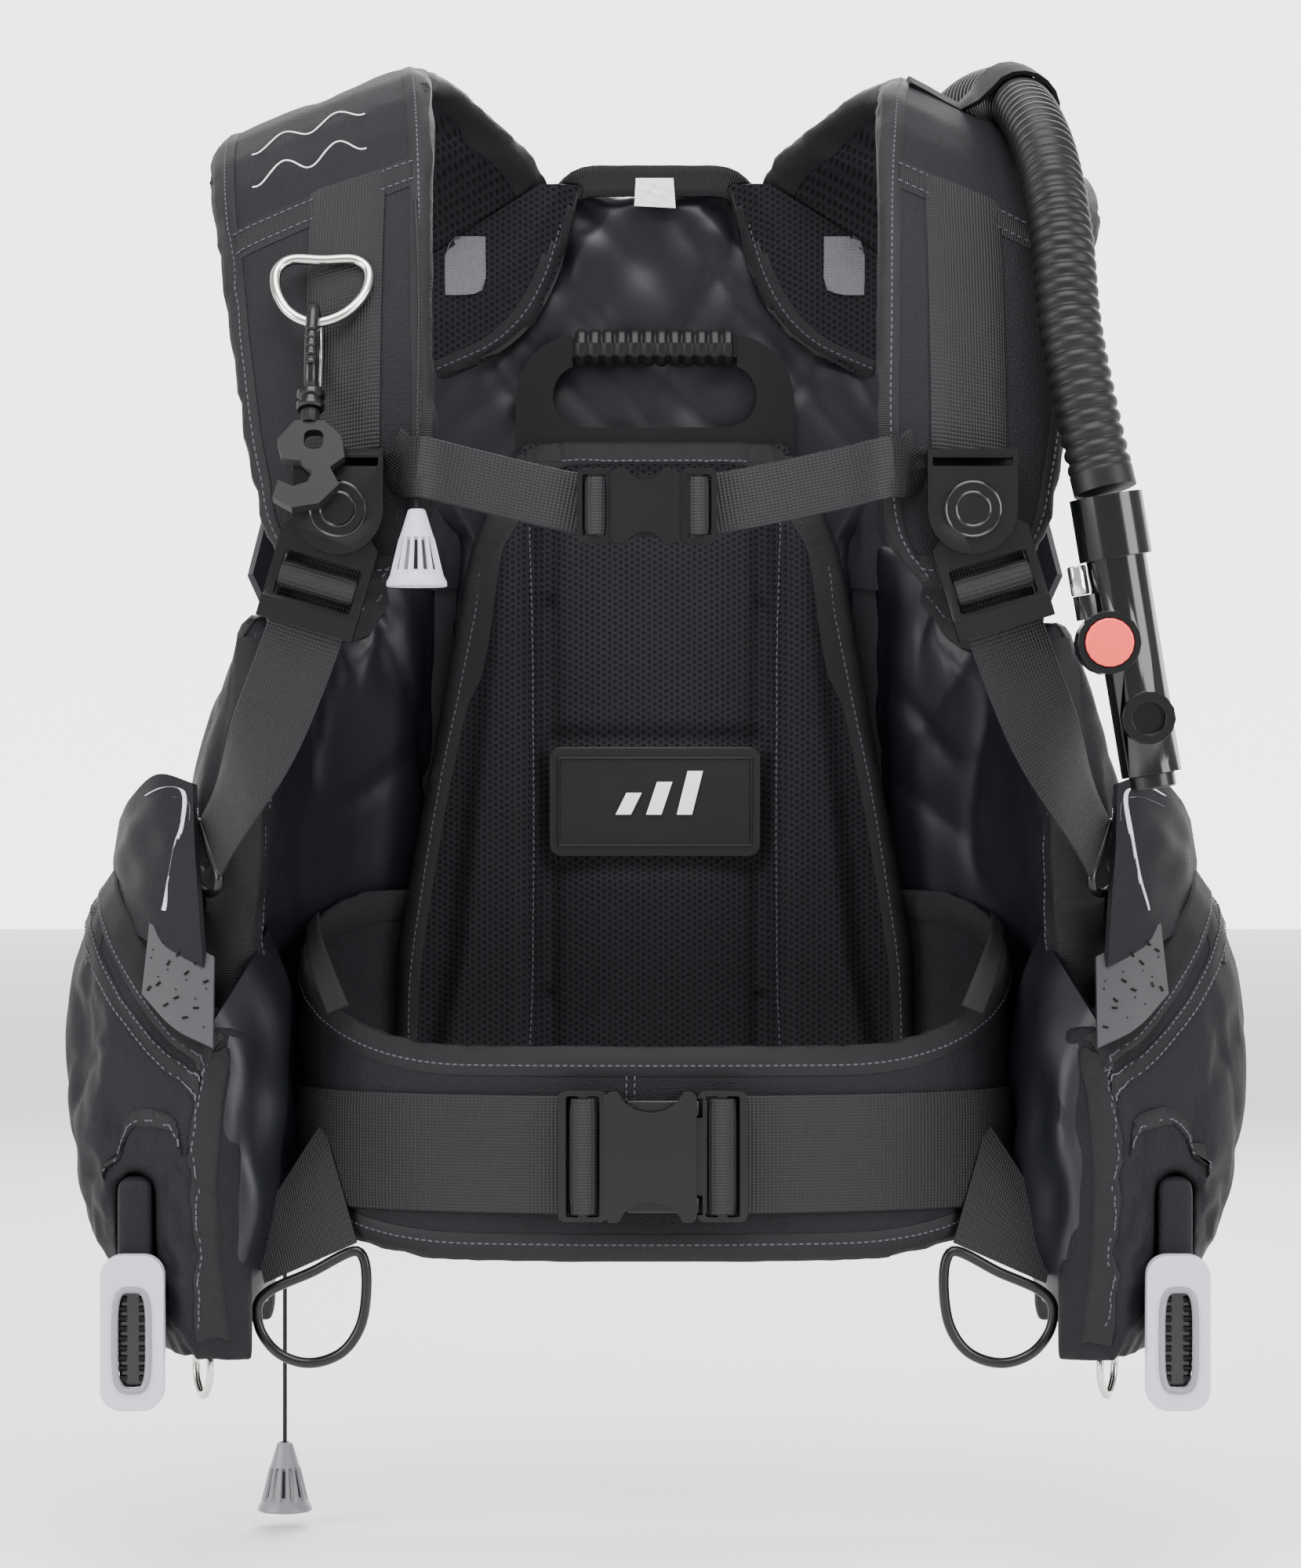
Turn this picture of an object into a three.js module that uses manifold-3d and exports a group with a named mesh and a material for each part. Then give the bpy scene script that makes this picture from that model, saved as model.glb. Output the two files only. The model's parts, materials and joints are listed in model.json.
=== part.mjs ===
// A diver's buoyancy vest: a jacket bladder on a rigid tank plate, with shoulder straps, a cummerbund,
// quick-release buckles, weight pockets, a corrugated inflator hose and pull-cord dump valves.
// Millimetres, +Z up. The wearer faces -Y, so the vest's left side is at +X. The origin is the middle of
// the tank seat's flat rear face, which the tank presses on.
import * as THREE from "three";
import { mergeVertices } from "three/addons/utils/BufferGeometryUtils.js";
import Module from "manifold-3d";

const wasm = await Module();
wasm.setup();

// ---- driving dimensions -------------------------------------------------------------------------
const GAP = 0.4; // between pieces that are sewn, clipped or stacked face to face
const TRUNK = { centreY: -96, halfDepth: 106, power: 2.5, chest: 152, chestZ: 60, waist: 165, waistZ: -100 };
const WEBBING = { waist: 50, shoulder: 32, chest: 25, tank: 50, thick: 2 };
const PLATE = { halfWidth: 64.5, topZ: 208, bottomZ: -142, front: -14, thick: 6, corner: 30 };
const HANDLE = { halfWidth: 47, topZ: 194, bottomZ: 165, gripLength: 74, gripRadius: 9, barDeep: 5, barHigh: 9 };
const SEAT = { halfWidth: 24, halfHeight: 70 };
const PAD = { topZ: 157, bottomZ: -152, topHalf: 62, shoulderHalf: 84, lowHalf: 118, thick: 22, wall: 9 };
const PATCH = { width: 97, height: 50, z: -8, thick: 2 };
const BLADDER = { backFront: -1, backThick: 18, side: 97, lobe: 46, edge: 12, topZ: 282, lowZ: -150 };
const STRAP = { thick: 10, edge: 6, hoseDrop: 16 };
const POCKET = { topZ: -26, frontTopZ: -106, bottomZ: -244, thick: 44, edge: 8, from: 66, to: 121 };
const CUMMERBUND = { width: 155, depth: 97, height: 91, topBack: -48, topFront: -112, thick: 4, from: 33 };
const WAIST = { z: -157, buckle: [80, 16, 55], middle: -1 };
const CHEST = { z: 114.5, buckle: [58, 10, 31], middle: -3.5, y: -250 };
const SWIVEL = { x: 130.5, z: 113, seat: -239.8, back: -244.5, thick: 6.5, turn: 16.5, radius: 18.5, disc: 11.5 };
const HOSE = { radius: 13.5 };
const HOOK_LEAN = 26; // degrees the snap hook leans forward where it rests on the buckle
const REAR_PULL = -306; // height of the rear pull cord's knob
const CORD = { radius: 1, into: 15 }; // each pull cord runs this far down inside its knob
const KNOB = { radius: 12.5, height: 32 };
const POUCH = { x: 222, width: 15, front: -186, depth: 62, topZ: -168, bottomZ: -240 };
const TANK_BAND = { radius: 90, slot: 50, z: 0 };
const INFLATOR = { top: [189, -253, 97], bottom: [204.3, -253, 4], radius: 12.5 };

const DEGREE = Math.PI / 180;
const V = (x, y, z) => new THREE.Vector3(x, y, z);
const mix = (a, b, t) => a + (b - a) * t;
const clamp = (t) => Math.min(1, Math.max(0, t));
const smooth = (t) => clamp(t) ** 2 * (3 - 2 * clamp(t));
const full = (t) => Math.sqrt(Math.max(0, Math.sin(Math.PI * t))); // a stuffed panel: 0 at its edges, 1 inside
const root = new THREE.Group();

// ---- materials ------------------------------------------------------------------------------------
const material = (color, roughness, metalness = 0) => new THREE.MeshStandardMaterial({ color, roughness, metalness });
const CORDURA = material(0x232325, 0.85);
const NYLON = material(0x2b2b30, 0.55);
const MESH = material(0x1d1e20, 0.9);
const WEB = material(0x303033, 0.8);
const ACETAL = material(0x1a1a1c, 0.35);
const RUBBER = material(0x161618, 0.6);
const STEEL = material(0xc8c6c2, 0.2, 1);
const GREY = material(0xa8a8b0, 0.5);
const RED = material(0xd2403c, 0.5);

// ---- shape helpers --------------------------------------------------------------------------------
/** A closed solid from a gridded box whose corner u, v, w (each 0 to 1) goes to place(u, v, w). */
function placed(nu, nv, place) {
  const box = new THREE.BoxGeometry(1, 1, 1, nu, nv, 1);
  const at = box.getAttribute("position");
  for (let i = 0; i < at.count; i++) {
    const p = place(at.getX(i) + 0.5, at.getY(i) + 0.5, at.getZ(i) + 0.5);
    at.setXYZ(i, p.x, p.y, p.z);
  }
  box.deleteAttribute("normal");
  box.deleteAttribute("uv");
  const made = mergeVertices(box, 1e-4);
  const index = made.index.array;
  const corner = [V(), V(), V()];
  let volume = 0;
  for (let i = 0; i < index.length; i += 3) {
    corner.forEach((c, k) => c.fromBufferAttribute(made.attributes.position, index[i + k]));
    volume += corner[0].dot(corner[1].cross(corner[2]));
  }
  if (volume < 0) made.setIndex([...index].reverse());
  return made;
}

/** A point out from surface(u, v) along its normal. */
function offset(surface, u, v, out) {
  const step = 1e-3;
  const along = surface(Math.min(1, u + step), v).sub(surface(Math.max(0, u - step), v));
  const across = surface(u, Math.min(1, v + step)).sub(surface(u, Math.max(0, v - step)));
  return surface(u, v).addScaledVector(along.cross(across).normalize(), out);
}

/** A sheet of the given thickness with surface(u, v) in its middle. */
function sheet(surface, thickness, nu, nv) {
  const thick = typeof thickness === "function" ? thickness : () => thickness;
  return placed(nu, nv, (u, v, w) => offset(surface, u, v, thick(u, v) * (w - 0.5)));
}

/** A stuffed shape between an inner face and an outer face. */
function shell(inner, outer, nu, nv) {
  return placed(nu, nv, (u, v, w) => inner(u, v).lerp(outer(u, v), w));
}

/** The surface between two rails, each a list of points. */
function ruled(railA, railB) {
  const a = new THREE.CatmullRomCurve3(railA, false, "centripetal");
  const b = new THREE.CatmullRomCurve3(railB, false, "centripetal");
  return (u, v) => a.getPoint(u).lerp(b.getPoint(u), v);
}

/** Webbing along a centre line; side(u) is the way its width runs. */
function webbing(points, side, width, steps) {
  const middle = new THREE.CatmullRomCurve3(points, false, "centripetal");
  return sheet((u, v) => middle.getPoint(u).addScaledVector(side(u), width * (v - 0.5)), WEBBING.thick, steps, 1);
}

/** A round bar along a smooth line through the points. */
function bar(points, radius, steps, sides = 8, closed = false) {
  const round = new THREE.Shape();
  for (let i = 0; i < sides; i++) {
    const a = (2 * Math.PI * (i + 0.5)) / sides;
    if (i) round.lineTo(radius * Math.cos(a), radius * Math.sin(a));
    else round.moveTo(radius * Math.cos(a), radius * Math.sin(a));
  }
  const path = new THREE.CatmullRomCurve3(points, closed, "centripetal");
  return new THREE.ExtrudeGeometry(round, { extrudePath: path, steps, bevelEnabled: false });
}

/** An outline drawn in X and Z, made `depth` thick from y = back towards -Y. */
function plate(shape, depth, back, curveSegments = 4) {
  const made = new THREE.ExtrudeGeometry(shape, { depth, bevelEnabled: false, curveSegments });
  return made.rotateX(Math.PI / 2).translate(0, back, 0);
}

/** A rectangle with round corners, centred on x, z. */
function rounded(width, height, radius, x = 0, z = 0, Kind = THREE.Shape) {
  const s = new Kind();
  const w = width / 2 - radius;
  const h = height / 2 - radius;
  const corners = [[w, -h], [w, h], [-w, h], [-w, -h]];
  corners.forEach(([cx, cz], i) => s.absarc(x + cx, z + cz, radius, (i - 1) * Math.PI / 2, i * Math.PI / 2));
  return s;
}

function box(size, at) {
  return new THREE.BoxGeometry(...size).translate(...at);
}

/** A round rod with its axis along Y. */
function rod(radius, length, sides, at) {
  return new THREE.CylinderGeometry(radius, radius, length, sides).translate(...at);
}

/** A round rod with its axis along Z. */
function post(radius, length, sides, at, lowRadius = radius) {
  return new THREE.CylinderGeometry(radius, lowRadius, length, sides).rotateX(Math.PI / 2).translate(...at);
}

function solid(geometry) {
  const bare = geometry.clone();
  bare.deleteAttribute("normal");
  bare.deleteAttribute("uv");
  const merged = mergeVertices(bare, 1e-3);
  return new wasm.Manifold(new wasm.Mesh({
    numProp: 3,
    vertProperties: merged.attributes.position.array,
    triVerts: new Uint32Array(merged.index.array),
  }));
}

function geometryOf(made) {
  const mesh = made.getMesh();
  return new THREE.BufferGeometry()
    .setAttribute("position", new THREE.BufferAttribute(mesh.vertProperties, 3))
    .setIndex(new THREE.BufferAttribute(mesh.triVerts, 1));
}

/** The first geometry with the others cut out of it. */
function cut(geometry, ...tools) {
  return geometryOf(tools.reduce((made, tool) => made.subtract(solid(tool)), solid(geometry)));
}

/** All the geometries as one solid. */
function join(...pieces) {
  return geometryOf(pieces.slice(1).reduce((made, piece) => made.add(solid(piece)), solid(pieces[0])));
}

/** Adds a named mesh to the vest. */
function piece(name, geometry, look) {
  const mesh = new THREE.Mesh(geometry, look);
  mesh.name = name;
  root.add(mesh);
  return mesh;
}

/** The same piece on both sides: the wearer's left as drawn, at +X, and the right as its mirror image. */
function pair(name, geometry, look) {
  piece("left_" + name, geometry, look);
  piece("right_" + name, geometry, look).scale.x = -1;
}

// ---- the wearer's trunk, which every wrapped piece follows ----------------------------------------
/** A point on a rounded oblong in plan: angle 0 is the middle of the back, 90 the left side, 180 the front. */
function oblong(angle, halfWidth, halfDepth, z) {
  const bend = (t) => Math.sign(t) * Math.abs(t) ** (2 / TRUNK.power);
  const x = halfWidth * bend(Math.sin(angle * DEGREE));
  return V(x, TRUNK.centreY + halfDepth * bend(Math.cos(angle * DEGREE)), z);
}

function trunk(angle, z, out) {
  const width = mix(TRUNK.waist, TRUNK.chest, smooth((z - TRUNK.waistZ) / (TRUNK.chestZ - TRUNK.waistZ)));
  return oblong(angle, width + out, TRUNK.halfDepth + out, z);
}

// ---- tank plate with its seat, carrying handle and back pad ----------------------------------------
const rearFace = PLATE.front + PLATE.thick;
const barY = PLATE.front + PLATE.thick / 2;
const barZ = PLATE.topZ - 6;
{
  const height = PLATE.topZ - PLATE.bottomZ;
  const outline = rounded(2 * PLATE.halfWidth, height, PLATE.corner, 0, (PLATE.topZ + PLATE.bottomZ) / 2);
  const slotHigh = HANDLE.topZ - HANDLE.bottomZ;
  const slotZ = (HANDLE.topZ + HANDLE.bottomZ) / 2;
  outline.holes.push(rounded(2 * HANDLE.halfWidth, slotHigh, slotHigh / 2 - 0.5, 0, slotZ, THREE.Path));
  for (const side of [-1, 1]) {
    outline.holes.push(rounded(5, WEBBING.tank + 6, 2, side * TANK_BAND.slot, TANK_BAND.z, THREE.Path));
  }
  const panel = plate(outline, PLATE.thick, rearFace);
  const seat = box([2 * SEAT.halfWidth, -rearFace + 1, 2 * SEAT.halfHeight], [0, (rearFace - 1) / 2, 0]);
  const feet = [[-52, 118], [52, 118], [-45, -112], [45, -112]].map(([x, z]) => (
    rod(8, BLADDER.backFront - GAP - rearFace + 1, 10, [x, (BLADDER.backFront - GAP + rearFace - 1) / 2, z])
  ));
  const clearing = box([HANDLE.gripLength + 2, 24, 30], [0, barY, barZ + 2]);
  const grab = box([HANDLE.gripLength + 6, HANDLE.barDeep, HANDLE.barHigh], [0, barY, barZ]);
  piece("backplate", join(cut(join(panel, seat, ...feet), clearing), grab), ACETAL);

  // The rubber sleeve on the handle's bar is a row of round ribs.
  const ribs = 12;
  const pitch = HANDLE.gripLength / ribs;
  const profile = [new THREE.Vector2(0, -HANDLE.gripLength / 2)];
  for (let i = 0; i < ribs; i++) {
    const start = -HANDLE.gripLength / 2 + i * pitch;
    for (const [drop, along] of [[1.6, 0], [0, 0.3], [0, 0.75]]) {
      profile.push(new THREE.Vector2(HANDLE.gripRadius - drop, start + along * pitch));
    }
  }
  profile.push(new THREE.Vector2(0, HANDLE.gripLength / 2));
  const sleeve = new THREE.LatheGeometry(profile, 9).rotateZ(-Math.PI / 2).translate(0, barY, barZ);
  const bore = box([HANDLE.gripLength + 6, HANDLE.barDeep + 2 * GAP, HANDLE.barHigh + 2 * GAP], [0, barY, barZ]);
  piece("handle_grip", cut(sleeve, bore), RUBBER);

  const half = (z) => (z > 110
    ? mix(PAD.shoulderHalf, PAD.topHalf, smooth((z - 110) / (PAD.topZ - 110)))
    : mix(PAD.lowHalf, PAD.shoulderHalf, clamp((z + 80) / 190)));
  const back = PLATE.front - GAP;
  const edgeOf = (u, v, out) => {
    const z = mix(PAD.bottomZ, PAD.topZ, v);
    const x = half(z) * (2 * u - 1);
    return V(x, back - 0.2 * Math.max(0, Math.abs(x) - 60) - out, z);
  };
  const puff = (u, v) => mix(PAD.wall, PAD.thick, full(u) * full(v));
  const cushion = shell((u, v) => edgeOf(u, v, 0), (u, v) => edgeOf(u, v, puff(u, v)), 10, 12);
  const front = back - PAD.thick;
  const recess = box([PATCH.width + 1, 8, PATCH.height + 1], [0, front - 2, PATCH.z]);
  piece("back_pad", cut(cushion, recess), MESH);
  const patch = rounded(PATCH.width, PATCH.height, 5, 0, PATCH.z);
  piece("pad_patch", plate(patch, PATCH.thick, front + 2 - GAP, 2), RUBBER);
}

// ---- bladder: the back panel, open round the tank seat, and a lobe round each side -----------------
const bladderRear = BLADDER.backFront + BLADDER.backThick;
const lobeEnds = { from: 30, top: (a) => 74 + 37 * smooth((78 - a) / 44), low: (a) => -190 - 42 * smooth((a - 60) / 45) };
const lobeFront = (z) => 96 + 17 * smooth((80 - z) / 130);
const lobeThick = (u, v) => mix(BLADDER.edge, BLADDER.lobe, full(u) * full(v) * smooth((u + 0.08) / 0.5));

/** The lobe's face at a share u of the way round and v of the way up, `share` of its thickness out. */
function lobe(u, v, share, extra = 0) {
  const guess = mix(lobeEnds.from, 108, u);
  const z = mix(lobeEnds.low(guess), lobeEnds.top(guess), v);
  const stand = 1 + 13 * smooth((u - 0.35) / 0.6);
  return trunk(mix(lobeEnds.from, lobeFront(z), u), z, stand + share * lobeThick(u, v) + extra);
}
{
  const s = new THREE.Shape();
  s.moveTo(-BLADDER.side, BLADDER.lowZ);
  s.lineTo(BLADDER.side, BLADDER.lowZ);
  s.lineTo(BLADDER.side, 112);
  s.lineTo(118, 134);
  s.lineTo(149, 158);
  s.lineTo(152, 176);
  s.lineTo(45, 266);
  s.lineTo(37, BLADDER.topZ);
  s.lineTo(-37, BLADDER.topZ);
  s.lineTo(-45, 266);
  s.lineTo(-152, 176);
  s.lineTo(-149, 158);
  s.lineTo(-118, 134);
  s.lineTo(-BLADDER.side, 112);
  s.holes.push(rounded(2 * TANK_BAND.slot + 16, 2 * SEAT.halfHeight + 10, 8, 0, 0, THREE.Path));
  piece("bladder_back", plate(s, BLADDER.backThick, bladderRear, 3), NYLON);
  const wing = shell((u, v) => lobe(u, v, 0), (u, v) => lobe(u, v, 1), 12, 8);
  const beside = box([40, 80, 500], [BLADDER.side + GAP - 20, 0, 0]);
  const tab = webbing([V(178, -136, -52), V(187, -148, -47), V(194.3, -160.4, -40)], () => V(0.32, 0.54, 0.78), 20, 3);
  pair("bladder_lobe", join(cut(wing, beside), tab), NYLON);
}

// ---- shoulder straps, from the back panel's slanting top edge over the shoulder to a round tip ------
const strapRails = (drop) => ruled(
  [[46.7, 5, 268.2], [58, -16, 290], [78, -58, 305 - 0.2 * drop], [98, -108, 316 - 0.3 * drop], [95, -155, 296],
    [92, -195, 258], [91, -226, 196], [91, -238, 140], [96, -239, 103], [113, -238, 81]].map((p) => V(...p)),
  [[153.7, 5, 178.1], [172, -14, 222], [188, -50, 264 - drop], [192, -100, 280 - drop], [191, -150, 262 - drop],
    [187, -188, 228 - 0.5 * drop], [178, -214, 176], [170, -225, 130], [161, -230, 100], [142, -234, 80]]
    .map((p) => V(...p)),
);
const strapThick = (u, v) => mix(STRAP.edge, STRAP.thick, full(v) * full(mix(0.02, 1, u)));
/** A point out from the front of a shoulder strap, at a share u of its length and a distance x from the middle. */
const onStrap = (surface, u, x, out) => {
  const a = surface(u, 0);
  const v = clamp((x - a.x) / (surface(u, 1).x - a.x));
  return offset(surface, u, v, STRAP.thick / 2 + out);
};
for (const side of [1, -1]) {
  const name = side > 0 ? "left" : "right";
  const middle = strapRails(side > 0 ? STRAP.hoseDrop : 0);
  const web = (u, v) => (
    onStrap(middle, mix(0.6, 0.775, u), SWIVEL.x + WEBBING.shoulder * (v - 0.5), GAP + WEBBING.thick / 2)
  );
  piece(name + "_shoulder_strap", sheet(middle, strapThick, 20, 5), CORDURA).scale.x = side;
  piece(name + "_shoulder_web", sheet(web, WEBBING.thick, 6, 1), WEB).scale.x = side;
}

// ---- quick-release swivel buckles on the shoulders --------------------------------------------------
const frameBack = SWIVEL.back - SWIVEL.thick - GAP;
{
  const s = new THREE.Shape();
  s.absarc(SWIVEL.x, SWIVEL.z, SWIVEL.radius, Math.PI, 2 * Math.PI);
  s.lineTo(SWIVEL.x + SWIVEL.radius, SWIVEL.z + 25);
  s.lineTo(SWIVEL.x - SWIVEL.radius, SWIVEL.z + 25);
  s.holes.push(rounded(WEBBING.shoulder + 1, 4.5, 1, SWIVEL.x, SWIVEL.z + 20, THREE.Path));
  const face = plate(s, 4.5, frameBack, 8);
  const boss = rod(SWIVEL.disc, 2, 20, [SWIVEL.x, frameBack - 5, SWIVEL.z]);
  const hub = rod(6, 6, 12, [SWIVEL.x, frameBack + 2.5, SWIVEL.z]);
  const wide = 2 * SWIVEL.radius;
  const step = frameBack - 1 - SWIVEL.seat;
  const shelf = box([wide, -step, 3.5], [SWIVEL.x, SWIVEL.seat + step / 2, SWIVEL.z + 23.2]);
  const foot = box([wide, -step, 2.2], [SWIVEL.x, SWIVEL.seat + step / 2, SWIVEL.z + 16.8]);
  pair("buckle_frame", join(face, boss, hub, shelf, foot), ACETAL);

  // The lower half turns on the hub and carries a ladder for the webbing.
  const half = WEBBING.shoulder / 2 + 4.5;
  const arm = new THREE.Shape();
  arm.moveTo(-half, -51);
  arm.lineTo(half, -51);
  arm.lineTo(half, -12);
  arm.lineTo(14, -6);
  arm.absarc(0, 0, 15, 0, Math.PI);
  arm.lineTo(-14, -6);
  arm.lineTo(-half, -12);
  for (const z of [-25, -37]) arm.holes.push(rounded(WEBBING.shoulder + 1.2, 7, 1.5, 0, z, THREE.Path));
  arm.holes.push(new THREE.Path().absarc(0, 0, 6 + GAP, 0, 2 * Math.PI));
  const lip = box([2 * half, 2.6, 9], [0, -SWIVEL.thick - 1.2, -46.5]);
  const lower = join(plate(arm, SWIVEL.thick, 0, 8), lip)
    .rotateY(-SWIVEL.turn * DEGREE).translate(SWIVEL.x, SWIVEL.back, SWIVEL.z);
  pair("buckle_lower", lower, ACETAL);
}

// ---- webbing from each swivel buckle down to a plastic ring on the lobe ------------------------------
{
  const turn = SWIVEL.turn * DEGREE;
  const behind = SWIVEL.back + GAP + WEBBING.thick / 2;
  const down = (far) => V(SWIVEL.x + far * Math.sin(turn), behind, SWIVEL.z - far * Math.cos(turn));
  const points = [down(19), down(37), down(55).add(V(0, 1.2, 0)), V(161, -226, 25), V(178, -198, -7), V(190, -176, -27)];
  const acrossTop = V(Math.cos(turn), 0, Math.sin(turn));
  const acrossLow = V(0.32, 0.54, 0.78).normalize();
  const across = (u) => acrossTop.clone().lerp(acrossLow, smooth((u - 0.3) / 0.65)).normalize();
  pair("lower_web", webbing(points, across, WEBBING.shoulder, 14), WEB);
  const on = V(0.375, 0.69, -0.625).normalize();
  const place = (a, b) => points[5].clone().addScaledVector(acrossLow, a).addScaledVector(on, b + 2.5);
  const corners = [[-15, 0], [0, 0], [15, 0], [17, 4], [12, 14], [0, 19], [-12, 14], [-17, 4]];
  pair("lower_ring", bar(corners.map(([a, b]) => place(a, b)), 2, 18, 6, true), ACETAL);
}

// ---- side-release buckles -----------------------------------------------------------------------------
/** Socket and plug of a side-release buckle, centred on the origin, socket at -X. */
function sideRelease([length, deep, high], webHigh) {
  const ladder = length * 0.26;
  const wall = deep * 0.16;
  const split = length * 0.23;
  const ladderDeep = deep * 0.55;
  const ladderPart = (x0, x1) => {
    const middle = (x0 + x1) / 2;
    const s = rounded(x1 - x0, high, 3, middle, 0);
    for (const side of [-1, 1]) {
      const slot = (x1 - x0) * 0.26;
      s.holes.push(rounded(slot, webHigh + 1, 1, middle + side * (x1 - x0) * 0.21, 0, THREE.Path));
    }
    return plate(s, ladderDeep, ladderDeep / 2, 2);
  };
  const bodyStart = -length / 2 + ladder - 1;
  const body = plate(rounded(split - bodyStart, high, 3, (split + bodyStart) / 2, 0), deep, deep / 2, 3);
  const roomHigh = high - 3.6;
  const room = box([split - bodyStart, deep - 2 * wall, roomHigh], [(split + bodyStart) / 2 + 2.5, 0, 0]);
  const notch = high * 0.28;
  const notches = [-1, 1].map((side) => (
    rod(notch, deep + 2, 16, [(split + bodyStart) / 2, 0, side * (high / 2 + notch * 0.42)])
  ));
  const socket = cut(join(ladderPart(-length / 2, bodyStart + 1), body), room, ...notches);
  const armDeep = deep - 2 * wall - 1.2;
  const spine = box([split - bodyStart - 8, armDeep * 0.8, high * 0.14], [(split + bodyStart) / 2 + 5, 0, 0]);
  const neck = box([6, armDeep, roomHigh - 4.4], [split + GAP + 1, 0, 0]);
  const plug = join(ladderPart(split + GAP, length / 2), spine, neck);
  const armEnd = bodyStart + 9;
  return { socket, plug, split, armDeep, armEnd, roomHigh };
}

const cummerbundY = TRUNK.centreY - CUMMERBUND.depth;
const waistAt = [WAIST.middle, cummerbundY - CUMMERBUND.thick / 2 - 1.2 - GAP - WAIST.buckle[1] / 2, WAIST.z];
{
  const made = sideRelease(WAIST.buckle, WEBBING.waist);
  const armHigh = 6.5;
  const armZ = made.roomHigh / 2 - armHigh / 2 - 2;
  const armRoot = made.split - 3;
  const arm = box([armRoot - made.armEnd, made.armDeep, armHigh], [(armRoot + made.armEnd) / 2, 0, armZ]);
  const seats = [-1, 1].map((side) => box([8, made.armDeep + 1, armHigh + 1.6], [armRoot + 1.5, 0, side * armZ]));
  piece("waist_socket", made.socket, ACETAL).position.set(...waistAt);
  piece("waist_plug", cut(made.plug, ...seats), ACETAL).position.set(...waistAt);
  piece("waist_latch_upper", join(arm, box([6, made.armDeep, armHigh], [armRoot + 1, 0, armZ])), ACETAL)
    .position.set(...waistAt);
  const lower = piece("waist_latch_lower", root.getObjectByName("waist_latch_upper").geometry, ACETAL);
  lower.position.set(...waistAt);
  lower.scale.z = -1;
}
{
  const made = sideRelease(CHEST.buckle, WEBBING.chest);
  const armHigh = 3.6;
  const arms = [-1, 1].map((side) => box(
    [made.split - made.armEnd + 2, made.armDeep, armHigh],
    [(made.split + made.armEnd) / 2 + 1, 0, side * (made.roomHigh / 2 - armHigh / 2 - 1.2)],
  ));
  piece("chest_socket", made.socket, ACETAL).position.set(CHEST.middle, CHEST.y, CHEST.z);
  piece("chest_plug", join(made.plug, ...arms), ACETAL).position.set(CHEST.middle, CHEST.y, CHEST.z);
}

// ---- chest webbing, sewn to the straps' inner edges ----------------------------------------------------
{
  const reach = CHEST.buckle[0] * 0.4;
  const sewn = onStrap(strapRails(0), 0.785, 109, GAP + WEBBING.thick / 2);
  const upright = () => V(0, 0, 1);
  for (const side of [-1, 1]) {
    const inner = CHEST.middle + side * reach;
    const layer = CHEST.y + CHEST.buckle[1] * 0.275 + GAP + WEBBING.thick / 2;
    const points = [
      V(side * sewn.x, sewn.y, sewn.z), V(side * 103, -250, 131), V(side * 96, -262.3, 130),
      V(side * 78, -256, 126), V(mix(inner, side * 78, 0.4), -247.5, 119), V(inner + side * 3, layer, CHEST.z + 1),
      V(inner - side * 3, layer, CHEST.z),
    ];
    piece(side < 0 ? "right_chest_web" : "left_chest_web", webbing(points, upright, WEBBING.chest, 18), WEB);
  }
}

// ---- cummerbund: one elastic wrap, closed in front and rising to the back panel ---------------------------
const wrap = (angle, z, out) => oblong(angle, CUMMERBUND.width + out, CUMMERBUND.depth + out, z);
{
  const face = (u, v, share) => {
    const angle = mix(CUMMERBUND.from, 360 - CUMMERBUND.from, u);
    const forward = smooth((180 - Math.abs(180 - angle) - 45) / 110);
    const top = mix(CUMMERBUND.topBack, CUMMERBUND.topFront, forward);
    const bow = 1.2 * Math.sin(Math.PI * v);
    return wrap(angle, mix(top - CUMMERBUND.height - 20 * (1 - forward), top, v), bow + (share - 0.5) * CUMMERBUND.thick);
  };
  piece("cummerbund", shell((u, v) => face(u, v, 0), (u, v) => face(u, v, 1), 36, 2), CORDURA);
}

// ---- waist webbing over the cummerbund; each end folds forward and hangs down to a pull ring ----------------
const fold = { near: V(128, -170, -197), far: V(168, -164.5, -215) }; // the sewn lower end of the webbing
{
  const layer = CUMMERBUND.thick / 2 + 1.2 + GAP + WEBBING.thick / 2;
  const ladderBar = WAIST.buckle[0] * 0.4;
  const behind = waistAt[1] + WAIST.buckle[1] * 0.275 + GAP + WEBBING.thick / 2;
  for (const side of [-1, 1]) {
    const inner = WAIST.middle + side * ladderBar;
    const onWrap = (angle) => wrap(180 - side * (180 - angle), WAIST.z, layer);
    const plan = [V(inner - side * 4, behind, WAIST.z), V(inner + side * 8, behind, WAIST.z)];
    for (const angle of [152, 144, 136, 128, 120, 112, 104, 97]) plan.push(onWrap(angle));
    const band = webbing(plan, () => V(0, 0, 1), WEBBING.waist, 22);
    // The free end lies over the band from the crease and runs down to the ring.
    const lap = ruled(
      [V(144, -150.3, -146), V(140, -158.5, -158), V(135, -163.5, -174), fold.near],
      [V(172, -160, -190), V(171, -161.5, -198), V(170, -163, -207), fold.far],
    );
    const tail = sheet(lap, WEBBING.thick, 6, 3).scale(side, 1, 1);
    if (side < 0) tail.setIndex([...tail.index.array].reverse());
    piece(side < 0 ? "right_waist_web" : "left_waist_web", join(band, tail), WEB);
  }
}

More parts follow.
